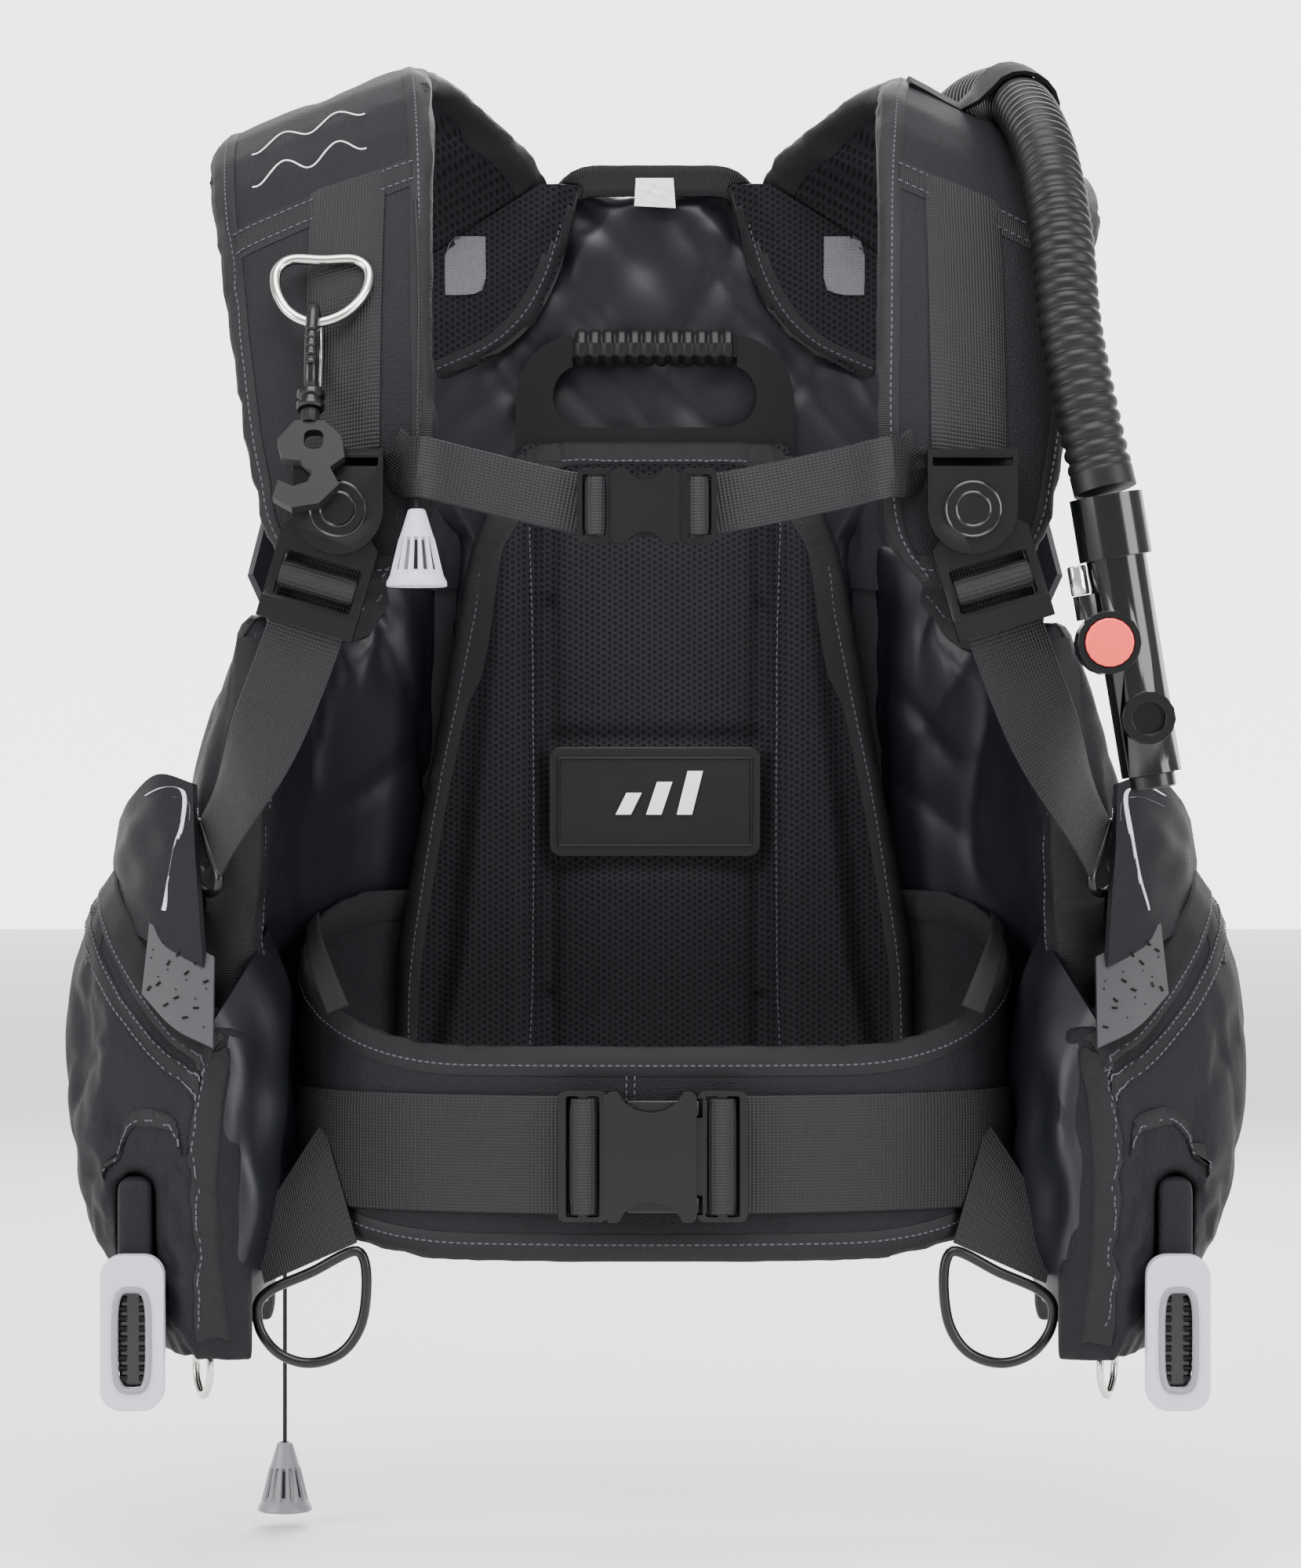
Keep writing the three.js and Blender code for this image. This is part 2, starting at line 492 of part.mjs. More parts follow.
// ---- pull rings on the ends of the waist webbing -------------------------------------------------------------
{
  const slope = (fold.far.y - fold.near.y) / (fold.far.x - fold.near.x);
  const corners = [[128, -200.6], [148, -210], [166.5, -218.6], [171, -224], [170, -235], [162, -245], [149, -249],
    [135, -244.5], [127, -234], [124, -219], [125, -204]];
  const line = corners.map(([x, z]) => V(x, fold.near.y + slope * (x - fold.near.x), z));
  pair("pull_ring", bar(line, 2.2, 26, 6, true), ACETAL);
}

// ---- utility pockets on the lobes, with a slot in front for the weight pouch ------------------------------------
{
  const share = (angle) => (angle - lobeEnds.from) / (lobeFront(-120) - lobeEnds.from);
  const under = (u, v) => {
    const angle = mix(POCKET.from, POCKET.to, u);
    const top = mix(POCKET.topZ, POCKET.frontTopZ, smooth((angle - 90) / 31));
    const z = mix(POCKET.bottomZ, top, v);
    const s = clamp(share(angle));
    const low = lobeEnds.low(mix(lobeEnds.from, 108, s));
    const up = clamp((z - low) / (lobeEnds.top(mix(lobeEnds.from, 108, s)) - low));
    const stand = 1 + 13 * smooth((s - 0.35) / 0.6);
    return { angle, z, out: stand + lobeThick(s, up) + 3 * GAP };
  };
  const thick = (u, v) => mix(POCKET.edge, POCKET.thick, full(mix(0.02, 0.8, u)) * full(mix(0.12, 0.98, v)));
  const inner = (u, v) => {
    const at = under(u, v);
    return trunk(at.angle, at.z, at.out);
  };
  const outer = (u, v) => {
    const at = under(u, v);
    return trunk(at.angle, at.z, at.out + thick(u, v));
  };
  const slot = box(
    [POUCH.width + 1.6, 2 * POUCH.depth, POUCH.topZ - POUCH.bottomZ + 1.6],
    [POUCH.x, POUCH.front, (POUCH.topZ + POUCH.bottomZ) / 2],
  );
  pair("pocket", cut(shell(inner, outer, 12, 8), slot), CORDURA);
  const pouchShape = rounded(POUCH.width, POUCH.topZ - POUCH.bottomZ, 4, POUCH.x, (POUCH.topZ + POUCH.bottomZ) / 2);
  pair("weight_pouch", plate(pouchShape, POUCH.depth - 2, POUCH.front + POUCH.depth - 2, 3), CORDURA);
}

// ---- pull handles on the pouches, pocket zip sliders and the rings under the pockets -------------------------------
{
  const middle = { x: 222, z: -233 };
  const ring = rounded(27, 66, 9, middle.x, middle.z);
  ring.holes.push(rounded(13, 42, 6, middle.x, middle.z - 3, THREE.Path));
  const grip = plate(ring, 9, POUCH.front - GAP, 4);
  pair("weight_handle", grip, GREY);

  const slider = join(box([9, 15, 5], [0, 0, 0]), box([5, 8, 5], [0, 1, 4]));
  slider.rotateZ(0.2).translate(229, -96, POCKET.topZ + 3.4);
  pair("zip_slider", slider, ACETAL);

  const drop = [[-9, 0], [0, 0], [9, 0], [11.5, 3], [10, 12], [0, 19], [-10, 12], [-11.5, 3]];
  const line = drop.map(([a, b]) => V(196 + 0.35 * a, -150 + 0.9 * a, POCKET.bottomZ - GAP - 1.6 - b));
  pair("pocket_ring", bar(line, 1.6, 18, 6, true), STEEL);
}

// ---- chest ring with a snap hook and a swivelling hose clip, on the wearer's right shoulder --------------------------
{
  const surface = strapRails(0);
  const clear = WEBBING.thick + 2 * GAP + 2.6;
  const hang = onStrap(surface, 0.62, 122, clear);
  const along = onStrap(surface, 0.68, 122, clear + 4.5).sub(hang);
  along.divideScalar(Math.hypot(along.y, along.z));
  const place = (a, b) => V(-139 + a, hang.y, hang.z).add(V(0, along.y, along.z).multiplyScalar(b));
  const d = [[-14, 0], [0, 0], [14, 0], [19, 5], [18, 16], [9, 27], [-3, 31], [-13, 26], [-19, 15], [-19, 5]];
  piece("chest_ring", bar(d.map(([a, b]) => place(a, b)), 2.2, 20, 8, true), STEEL);

  // The hook's loop stands square to the ring's wire and passes round it; below it a clip turns on a swivel.
  const low = place(-3, 31);
  const lean = (geometry) => geometry.rotateX(-HOOK_LEAN * DEGREE).translate(low.x, low.y, low.z);
  const loop = [[0, 5.4], [4.2, 4], [6, -2], [7.5, -12], [7, -22], [4, -31], [0, -33], [-4, -31], [-7, -22],
    [-7.5, -12], [-6, -2], [-4.2, 4]];
  const oval = bar(loop.map(([y, z]) => V(0, y, z)), 2.6, 22, 6, true);
  piece("snap_hook", lean(join(oval, post(6, 9, 12, [0, 0, -37.5]))), ACETAL);

  const collar = post(4, 6, 10, [0, 0, -45.4]);
  const edge = [[-6, 0], [6, 0], [13, -7], [15, -17], [9, -22], [13, -30], [5, -39], [-6, -41], [-14, -36], [-12, -28],
    [-6, -31], [0, -29], [2, -24], [-3, -19], [-11, -18], [-13, -9]];
  const clip = new THREE.Shape(edge.map(([x, z]) => new THREE.Vector2(x, z - 48)));
  clip.holes.push(rounded(8, 9, 3, 2, -57, THREE.Path));
  piece("hose_clip", lean(join(collar, plate(clip, 5, 2.5, 3))), ACETAL);
}

// ---- corrugated inflator hose: an elbow on the back panel, the hose over the left shoulder, the inflator ---------------
const hosePath = [[108, 34, 227.5], [109.5, 34, 244], [118, 28, 272], [130, 8, 298], [143, -28, 310], [152, -68, 310],
  [158, -106, 303], [163, -150, 288], [167, -190, 264], [170, -222, 228], [172, -239, 190], [179, -249, 149],
  [185.3, -252.7, 120.8]];
{
  const base = rod(24, 4, 20, [108, bladderRear + GAP + 2, 180]);
  const neck = rod(15, 20, 14, [108, bladderRear + GAP + 12, 180]);
  const rise = post(14.5, 46, 14, [108, 34, 202]);
  piece("hose_elbow", join(base, neck, rise), ACETAL);
  piece("inflator_hose", bar(hosePath.map((p) => V(...p)), HOSE.radius, 36, 10), RUBBER);
}
{
  const top = V(...INFLATOR.top);
  const low = V(...INFLATOR.bottom);
  const tilt = Math.atan2(low.x - top.x, top.z - low.z);
  const middle = top.clone().lerp(low, 0.5);
  const lean = (geometry) => geometry.rotateY(-tilt).translate(middle.x, middle.y, middle.z);
  const long = top.distanceTo(low);
  const cuff = post(15.2, 26, 16, [0, 0, long / 2 + 9]);
  const body = post(INFLATOR.radius, long - 4, 14, [0, 0, -2]);
  const boss = rod(13, 20, 18, [-10, -8, 9]);
  const mouth = rod(11, 16, 14, [1, -9, -24]);
  const hole = rod(7, 10, 12, [1, -13.5, -24]);
  const well = rod(10.4, 9, 18, [-10, -14.5, 9]);
  const socket = post(9.9, 4.4, 14, [0, 0, -long / 2 + 1.2]);
  const foot = post(5.5, 10, 10, [-15, -2, 25]);
  piece("inflator_body", lean(cut(join(cuff, body, boss, mouth, foot), hole, well, socket)), ACETAL);
  piece("inflate_button", lean(rod(10, 6, 18, [-10, -16.4, 9])), RED);
  piece("quick_connector", lean(post(4, 12, 10, [-17, -2, 36 + GAP])), STEEL);
  piece("deflate_button", lean(post(9.5, 6.5, 14, [0, 0, -long / 2 - 2.75])), ACETAL);
}

// The rubber strap that holds the hose down on the shoulder.
{
  const surface = strapRails(STRAP.hoseDrop);
  const hose = new THREE.CatmullRomCurve3(hosePath.map((p) => V(...p)), false, "centripetal");
  const round = HOSE.radius + 3 * GAP + WEBBING.thick / 2;
  const flap = (u, v) => {
    const centre = hose.getPoint(mix(5.85, 6.55, v) / (hosePath.length - 1));
    const points = [108, 120, 131].map((x) => onStrap(surface, mix(0.325, 0.395, v), x, 2 * GAP + WEBBING.thick / 2));
    for (const angle of [150, 120, 90, 60, 30, 0, -25]) {
      const turn = angle * DEGREE;
      points.push(V(centre.x + round * Math.cos(turn), centre.y, centre.z + round * Math.sin(turn)));
    }
    return new THREE.CatmullRomCurve3(points, false, "centripetal").getPoint(u);
  };
  piece("hose_flap", sheet(flap, WEBBING.thick, 14, 2), RUBBER);
}

// ---- pull-cord dump valves: one at the right shoulder, one low on the right lobe ----------------------------------------
{
  const knob = (x, y, z) => {
    const profile = [[0, 0], [3.2, 0], [4, -3], [KNOB.radius - 1, -KNOB.height + 3], [KNOB.radius, -KNOB.height + 1.5],
      [KNOB.radius - 0.5, -KNOB.height], [0, -KNOB.height]].map(([r, h]) => new THREE.Vector2(r, h));
    const cone = new THREE.LatheGeometry(profile.reverse(), 16).rotateX(Math.PI / 2);
    return cut(cone, post(CORD.radius + 2 * GAP, 2 * CORD.into, 8, [0, 0, 0])).translate(x, y, z);
  };
  const run = [[-101, -208, 246], [-99, -226, 222], [-98, -236.5, 196], [-98, -245, 165], [-98, -249, 146],
    [-98, -252, 130], [-98, -255.6, 119.5], [-98, -257.6, 113.6], [-98, -257.6, 106], [-98, -257.6, 99.5]];
  piece("shoulder_cord", bar(run.map((p) => V(...p)), CORD.radius, 18, 8), WEB);
  piece("shoulder_knob", knob(-98, -257.6, 113), GREY);

  // The rear valve is a low disc on the lobe's back face; its cord leaves through the rim.
  const seat = lobe(0.29, 0.09, 1, GAP + 10.8);
  const out = V(seat.x, 0, 1.25 * (seat.y - TRUNK.centreY)).normalize();
  const valve = rod(18, 8, 18, [0, 0, 0]).rotateZ(Math.atan2(out.x, out.z)).translate(-seat.x, seat.y, seat.z);
  const drop = [-seat.x - 1, seat.y + 1];
  piece("rear_dump_valve", cut(valve, post(CORD.radius + GAP, 60, 10, [...drop, seat.z - 22])), ACETAL);
  const top = seat.z + 6;
  const reach = top - REAR_PULL + CORD.into - 1;
  piece("rear_cord", post(CORD.radius, reach, 8, [...drop, top - reach / 2]), WEB);
  piece("rear_knob", knob(...drop, REAR_PULL), GREY);
}

// ---- tank band with its cam buckle --------------------------------------------------------------------------------------------
{
  const r = TANK_BAND.radius;
  const inSlot = TANK_BAND.slot + 0.9;
  const start = Math.asin((inSlot + 4) / r);
  const loop = [V(inSlot, PLATE.front + 1, 0), V(inSlot, rearFace + 2, 0)];
  for (let i = 0; i <= 12; i++) {
    const a = mix(start, 2 * Math.PI - start, i / 12);
    loop.push(V(r * Math.sin(a), r - r * Math.cos(a), 0));
  }
  loop.push(V(-inSlot, rearFace + 2, 0), V(-inSlot, PLATE.front + 1, 0));
  piece("tank_band", webbing(loop, () => V(0, 0, 1), WEBBING.tank, 40), WEB);
  const rear = 2 * r + WEBBING.thick / 2 + GAP;
  const high = WEBBING.tank + 12;
  const base = box([62, 3, high], [0, rear + 1.5, 0]);
  const cheeks = [-1, 1].map((side) => box([20, 14, 4], [-20, rear + 8, side * (high / 2 - 2)]));
  piece("cam_frame", join(base, ...cheeks), ACETAL);
  const lever = join(
    rod(5, 1, 4, [0, 0, 0]).scale(1, 1, 1),
    box([74, 4, WEBBING.tank], [14, 0, 0]),
    post(4, high - 8 - 2 * GAP, 12, [-20, 0, 0]),
  );
  piece("cam_lever", lever.translate(0, rear + 9, 0), ACETAL);
}

export default root;
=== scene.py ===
"""A diver's buoyancy vest, dressed for rendering on its CAD frame. Metres; lengths written in mm carry * MM.
The wearer faces -Y, so the vest's left side is at +X. The origin is the tank seat on the backplate."""
import json
import math

import bmesh
import bpy
import numpy as np
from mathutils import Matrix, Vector, noise
from mathutils.bvhtree import BVHTree

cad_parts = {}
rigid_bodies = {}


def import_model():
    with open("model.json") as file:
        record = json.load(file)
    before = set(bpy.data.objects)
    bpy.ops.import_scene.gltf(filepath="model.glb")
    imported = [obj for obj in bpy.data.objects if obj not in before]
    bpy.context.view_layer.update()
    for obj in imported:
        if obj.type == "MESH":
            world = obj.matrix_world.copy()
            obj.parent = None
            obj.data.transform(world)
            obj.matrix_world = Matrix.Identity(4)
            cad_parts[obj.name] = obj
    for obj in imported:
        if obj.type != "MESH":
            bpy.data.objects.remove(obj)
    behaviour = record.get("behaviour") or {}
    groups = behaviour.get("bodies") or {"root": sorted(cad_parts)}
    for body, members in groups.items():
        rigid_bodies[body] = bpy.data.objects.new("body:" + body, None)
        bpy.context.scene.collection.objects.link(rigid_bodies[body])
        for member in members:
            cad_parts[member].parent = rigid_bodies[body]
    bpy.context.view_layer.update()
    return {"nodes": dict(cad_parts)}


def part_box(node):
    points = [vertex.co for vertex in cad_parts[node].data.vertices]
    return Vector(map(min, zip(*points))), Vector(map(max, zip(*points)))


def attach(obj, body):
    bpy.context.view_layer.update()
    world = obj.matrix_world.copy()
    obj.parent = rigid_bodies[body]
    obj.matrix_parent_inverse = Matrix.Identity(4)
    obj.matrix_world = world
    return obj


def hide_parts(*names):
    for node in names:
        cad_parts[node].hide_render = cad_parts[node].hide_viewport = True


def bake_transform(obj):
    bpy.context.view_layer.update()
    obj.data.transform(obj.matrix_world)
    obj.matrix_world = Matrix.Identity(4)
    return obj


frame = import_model()
MM = 0.001
SIDES = ((1, "left"), (-1, "right"))
# Places taken from the CAD, in mm on the wearer's left side: the swivel buckle's pivot and lean, the plastic ring on
# the lobe with the way its webbing loop runs, the waist webbing's height, the weight pouch handle and the middle of
# the trunk, front to back.
SWIVEL_X, SWIVEL_Z = 130.5, 113
BUCKLE_LEAN = math.radians(16.5)
LOBE_RING = (190, -176, -27)
LOBE_RING_ACROSS = (0.32, 0.54, 0.78)
WAIST_Z = -157
HANDLE_X, HANDLE_Z = 222, -236
TRUNK_Y = -96
FLOOR_Z = -0.345
BACKDROP_Y = 9
STAGE_HALF_WIDTH = 12

# ---- camera, light and floor ---------------------------------------------------------------------
# The vest is seen level from the front, 2.2 m away, in a bright white studio.
camera = bpy.data.objects.new("camera", bpy.data.cameras.new("camera"))
camera.data.lens = 108
camera.data.sensor_fit = "VERTICAL"
camera.data.sensor_height = 36
camera.location = (-0.002, -2.19, 0)
camera.rotation_euler = (math.pi / 2, 0, 0)
bpy.context.collection.objects.link(camera)
bpy.context.scene.camera = camera


def area_light(name, at, aim, width, power):
    """A square soft box at `at`, facing `aim`."""
    lamp = bpy.data.lights.new(name, "AREA")
    lamp.size = width
    lamp.energy = power
    obj = bpy.data.objects.new(name, lamp)
    obj.location = at
    obj.rotation_euler = (Vector(aim) - Vector(at)).to_track_quat("-Z", "Y").to_euler()
    bpy.context.collection.objects.link(obj)


area_light("overhead_softbox", (0, -0.9, 1.6), (0, 0, 0), 1.4, 60)
area_light("left_softbox", (-1.7, -1.2, 0.5), (0, 0, 0), 1.1, 40)
area_light("right_softbox", (1.7, -1.3, 0.5), (0, 0, 0), 1.1, 40)
area_light("rear_softbox", (0.2, 1.9, 1.2), (0, 0, 0), 1.2, 45)
world = bpy.data.worlds.new("studio")
world.use_nodes = True
world.node_tree.nodes["Background"].inputs["Color"].default_value = (1, 1, 1, 1)
world.node_tree.nodes["Background"].inputs["Strength"].default_value = 0.8
bpy.context.scene.world = world


def linear(colour):
    """sRGB hex to the linear values that shaders take."""
    raw = [int(colour[i:i + 2], 16) / 255 for i in (1, 3, 5)]
    return [*[c / 12.92 if c < 0.04045 else ((c + 0.055) / 1.055) ** 2.4 for c in raw], 1]


def add(tree, kind, **inputs):
    """A shader node whose inputs are set, or linked where the value is another node's output; i3 is input number 3."""
    node = tree.nodes.new(kind)
    for key, value in inputs.items():
        if key in node.bl_rna.properties:
            setattr(node, key, value)
            continue
        numbered = key[0] == "i" and key[1:].isdigit()
        socket = node.inputs[int(key[1:]) if numbered else key.replace("_", " ")]
        if isinstance(value, bpy.types.NodeSocket):
            tree.links.new(value, socket)
        else:
            socket.default_value = value
    return node


def surface(name, colour, rough, height=None, strength=0.3, depth=0.3, patchy=0.25, shine=0.5, **more):
    """A material: noise 20-60 mm across varies the colour and the roughness, and height(tree) gives the bump."""
    made = bpy.data.materials.new(name)
    made.use_nodes = True
    tree = made.node_tree
    shader = tree.nodes["Principled BSDF"]
    at = add(tree, "ShaderNodeTexCoord").outputs["Object"]
    cloud = add(tree, "ShaderNodeTexNoise", Vector=at, Scale=28.0, Detail=4.0).outputs["Fac"]
    dark = [c * (1 - patchy) for c in linear(colour)[:3]] + [1]
    light = [min(1, c * (1 + patchy)) for c in linear(colour)[:3]] + [1]
    mixed = add(tree, "ShaderNodeMix", data_type="RGBA", i0=cloud, i6=dark, i7=light)
    tree.links.new(mixed.outputs[2], shader.inputs["Base Color"])
    spread = add(tree, "ShaderNodeMapRange", i0=cloud, i3=rough - 0.06, i4=rough + 0.06)
    tree.links.new(spread.outputs[0], shader.inputs["Roughness"])
    if height:
        made_height = height(tree, at)
        bump = add(tree, "ShaderNodeBump", Strength=strength, Distance=depth * MM, Height=made_height)
        tree.links.new(bump.outputs[0], shader.inputs["Normal"])
        # Painted shade: with shade set, the colour darkens to near black where the bump's height is low, down in the
        # spacer mesh's holes.
        if more.pop("shade", None):
            low = add(tree, "ShaderNodeMix", data_type="RGBA", i0=made_height, i6=[0.003, 0.003, 0.0035, 1],
                      i7=mixed.outputs[2])
            tree.links.new(low.outputs[2], shader.inputs["Base Color"])
    shader.inputs["Specular IOR Level"].default_value = shine
    for key, value in more.items():
        shader.inputs[key.replace("_", " ")].default_value = value
    return made


def grain(pitch):
    """Height of an even-grained cloth: cells of `pitch` mm."""
    def height(tree, at):
        cells = add(tree, "ShaderNodeTexVoronoi", Vector=at, Scale=1 / (pitch * MM), Randomness=0.45)
        return cells.outputs["Distance"]
    return height


def honeycomb(pitch):
    """Height of a spacer mesh: cos(a) + cos(b) + cos(c) over three directions 60 degrees apart in X and Z."""
    def height(tree, at):
        k = 4 * math.pi / (math.sqrt(3) * pitch * MM)
        waves = []
        for degrees in (0, 60, 120):
            a = math.radians(degrees)
            along = add(tree, "ShaderNodeVectorMath", operation="DOT_PRODUCT", i0=at,
                        i1=(k * math.cos(a), 0.35 * k * math.sin(a), k * math.sin(a)))
            waves.append(add(tree, "ShaderNodeMath", operation="COSINE", i0=along.outputs["Value"]).outputs[0])
        two = add(tree, "ShaderNodeMath", operation="ADD", i0=waves[0], i1=waves[1])
        three = add(tree, "ShaderNodeMath", operation="ADD", i0=two.outputs[0], i1=waves[2])
        return add(tree, "ShaderNodeMapRange", i0=three.outputs[0], i1=1.9, i2=0.4).outputs[0]
    return height


def weave(along, across):
    """Height of a woven tape, from its UV in metres: |sin(u) sin(v)| at the given thread pitches in mm."""
    def height(tree, at):
        uv = add(tree, "ShaderNodeSeparateXYZ", Vector=add(tree, "ShaderNodeTexCoord").outputs["UV"])
        waves = []
        for channel, pitch in ((0, along), (1, across)):
            turned = add(tree, "ShaderNodeMath", operation="MULTIPLY", i0=uv.outputs[channel],
                         i1=math.pi / (pitch * MM))
            waves.append(add(tree, "ShaderNodeMath", operation="SINE", i0=turned.outputs[0]).outputs[0])
        both = add(tree, "ShaderNodeMath", operation="MULTIPLY", i0=waves[0], i1=waves[1])
        return add(tree, "ShaderNodeMath", operation="ABSOLUTE", i0=both.outputs[0]).outputs[0]
    return height


# Cordura: thick woven nylon threads 0.9 mm apart, matt, so it reads as a dull black cloth with a visible tooth.
cordura = surface("cordura_coarse_woven_nylon", "#121316", 0.62, grain(0.9), 0.7, 0.5, shine=0.16)
# Coated nylon: fine even threads under a coating, so broad soft highlights on a blue-black ground.
nylon = surface("coated_nylon_fine_weave", "#111218", 0.42, grain(0.5), 0.25, 0.15, shine=0.3)
# Spacer mesh: knitted honeycomb with open holes 3 mm apart, with painted shade darkening the colour to near black down
# in the holes.
spacer = surface("knitted_spacer_mesh_open_holes", "#17181b", 0.7, honeycomb(3.0), 0.9, 1.2, shine=0.12, shade=True)
# Polypropylene webbing: ribbed weave, drawn at 1.7 by 1.3 mm so it shows, with a slight sheen.
webbing = surface("polypropylene_webbing_woven", "#17181a", 0.55, weave(1.7, 1.3), 0.8, 0.5, shine=0.25)
# Grosgrain binding: fine cross ribs 1 mm apart on a matt tape.
binding = surface("grosgrain_binding_ribbed", "#131416", 0.6, weave(1.0, 30), 0.7, 0.35, shine=0.2)
# Acetal with a satin mould finish: black, faint even highlights. The hose clip has a grained one, further down.
acetal = surface("acetal_moulded_satin", "#0b0c0d", 0.3, grain(0.35), 0.08, 0.05, 0.1, shine=0.32)
# Acetal from a polished mould: sharp long highlights.
gloss = surface("acetal_moulded_polished", "#08090a", 0.16, grain(0.3), 0.03, 0.03, 0.1, shine=0.45)
# Moulded rubber: black, matt, slightly uneven.
rubber = surface("rubber_moulded_matt", "#0e0f10", 0.45, grain(0.4), 0.1, 0.06, 0.15, shine=0.25)
# Polished stainless wire: bright, with faint drawing marks.
steel = surface("stainless_steel_polished_wire", "#c9c7c2", 0.16, grain(2.5), 0.04, 0.05, 0.05, Metallic=1.0)
# Chromed brass: a clean mirror.
chrome = surface("chromed_brass_polished", "#d6d6d6", 0.1, grain(2.0), 0.03, 0.03, 0.04, Metallic=1.0)
# Moulded nylon, pale grey with a cool tint, and a darker grey one: satin.
pale = surface("grey_nylon_moulded_satin", "#b3b4c0", 0.4, grain(0.5), 0.08, 0.05, 0.05)
smoke = surface("dark_grey_nylon_moulded_satin", "#75767b", 0.42, grain(0.5), 0.08, 0.05, 0.05)
# Red acetal: satin, even.
red = surface("red_acetal_moulded_satin", "#e0453c", 0.4, grain(0.4), 0.06, 0.05, 0.06)
# Polyester sewing thread: grey against the black cloth, so a row of stitches shows.
thread = surface("polyester_sewing_thread", "#3a3b3f", 0.6, grain(0.25), 0.3, 0.1)



def stage_sheet(name, corners, material):
    """A flat sheet of the studio between four corners."""
    mesh = bpy.data.meshes.new(name)
    mesh.from_pydata(corners, [], [(0, 1, 2, 3)])
    mesh.materials.append(material)
    obj = bpy.data.objects.new(name, mesh)
    bpy.context.collection.objects.link(obj)
    return obj


W = STAGE_HALF_WIDTH
floor = stage_sheet("floor", [(-W, -W, FLOOR_Z), (W, -W, FLOOR_Z), (W, BACKDROP_Y, FLOOR_Z), (-W, BACKDROP_Y, FLOOR_Z)],
                    surface("studio_floor_painted_white", "#f4f4f4", 0.7, grain(3), 0.05, 0.1, 0.01))
backdrop = stage_sheet("backdrop", [(-W, BACKDROP_Y, FLOOR_Z), (W, BACKDROP_Y, FLOOR_Z), (W, BACKDROP_Y, 9),
                                    (-W, BACKDROP_Y, 9)],
                       surface("studio_backdrop_lit_paper", "#ffffff", 0.8, grain(3), 0.02, 0.1, 0.005,
                               Emission_Color=(1, 1, 1, 1), Emission_Strength=2.6))

# ---- moulded and metal pieces straight from their CAD shape --------------------------------------
# Backplate, buckles, valve housings: injection-moulded acetal with small edge radii. They are clipped, screwed or
# welded to the fabric.
def put(name, mesh, material, body="vest"):
    """An object for a mesh, smooth-shaded with creases over 38 degrees, riding on a body."""
    obj = bpy.data.objects.new(name, mesh)
    mesh.materials.append(material)
    mesh.polygons.foreach_set("use_smooth", [True] * len(mesh.polygons))
    mesh.set_sharp_from_angle(angle=math.radians(38))
    bpy.context.collection.objects.link(obj)
    if body:
        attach(obj, body)
    return obj


def cad_copy(node):
    """The CAD node's mesh, merged and with its flat faces whole."""
    made = bmesh.new()
    made.from_mesh(frame["nodes"][node].data)
    bmesh.ops.remove_doubles(made, verts=made.verts, dist=2e-6)
    bmesh.ops.dissolve_limit(made, angle_limit=math.radians(1), verts=made.verts, edges=made.edges)
    mesh = bpy.data.meshes.new(node + "_finished")
    made.to_mesh(mesh)
    made.free()
    return mesh


def moulded(node, body, material, radius=0.6):
    """A CAD piece with its edges rounded to `radius` mm."""
    obj = put(node + "_moulding", cad_copy(node), material, body)
    bevel = obj.modifiers.new("edge radius", "BEVEL")
    bevel.width = radius * MM
    bevel.segments = 2
    bevel.limit_method = "ANGLE"
    bevel.angle_limit = math.radians(28)
    bevel.use_clamp_overlap = True
    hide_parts(node)
    return obj


for node in ("backplate", "waist_socket", "chest_socket", "left_buckle_frame", "right_buckle_frame", "hose_elbow",
             "rear_dump_valve", "cam_frame"):
    moulded(node, "vest", acetal)
for node in ("waist_plug", "waist_latch_upper", "waist_latch_lower", "chest_plug", "left_buckle_lower",
             "right_buckle_lower", "cam_lever", "left_zip_slider", "right_zip_slider"):
    moulded(node, node, acetal, 0.7)
moulded("inflator_body", "vest", gloss, 0.8)
moulded("quick_connector", "vest", chrome, 0.5)
moulded("inflate_button", "inflate_button", red, 0.8)
moulded("deflate_button", "deflate_button", acetal, 0.8)
moulded("handle_grip", "vest", rubber, 0.5)
moulded("pad_patch", "vest", rubber, 0.6)
for side in ("left", "right"):
    moulded(side + "_weight_handle", side + "_weight_pouch", pale, 1.6)

# ---- back pad ------------------------------------------------------------------------------------
# A foam cushion covered in open spacer mesh, bound with tape round its outline and quilted into three upright
# channels. It is screwed to the backplate.
def mesh_from(name, points, quads):
    """A mesh from an array of points in mm and lists of corner numbers, with its faces turned outward."""
    mesh = bpy.data.meshes.new(name)
    mesh.from_pydata((np.asarray(points, float) * MM).tolist(), [], [list(map(int, q)) for q in quads])
    turned = bmesh.new()
    turned.from_mesh(mesh)
    bmesh.ops.recalc_face_normals(turned, faces=turned.faces)
    turned.to_mesh(mesh)
    turned.free()
    return mesh


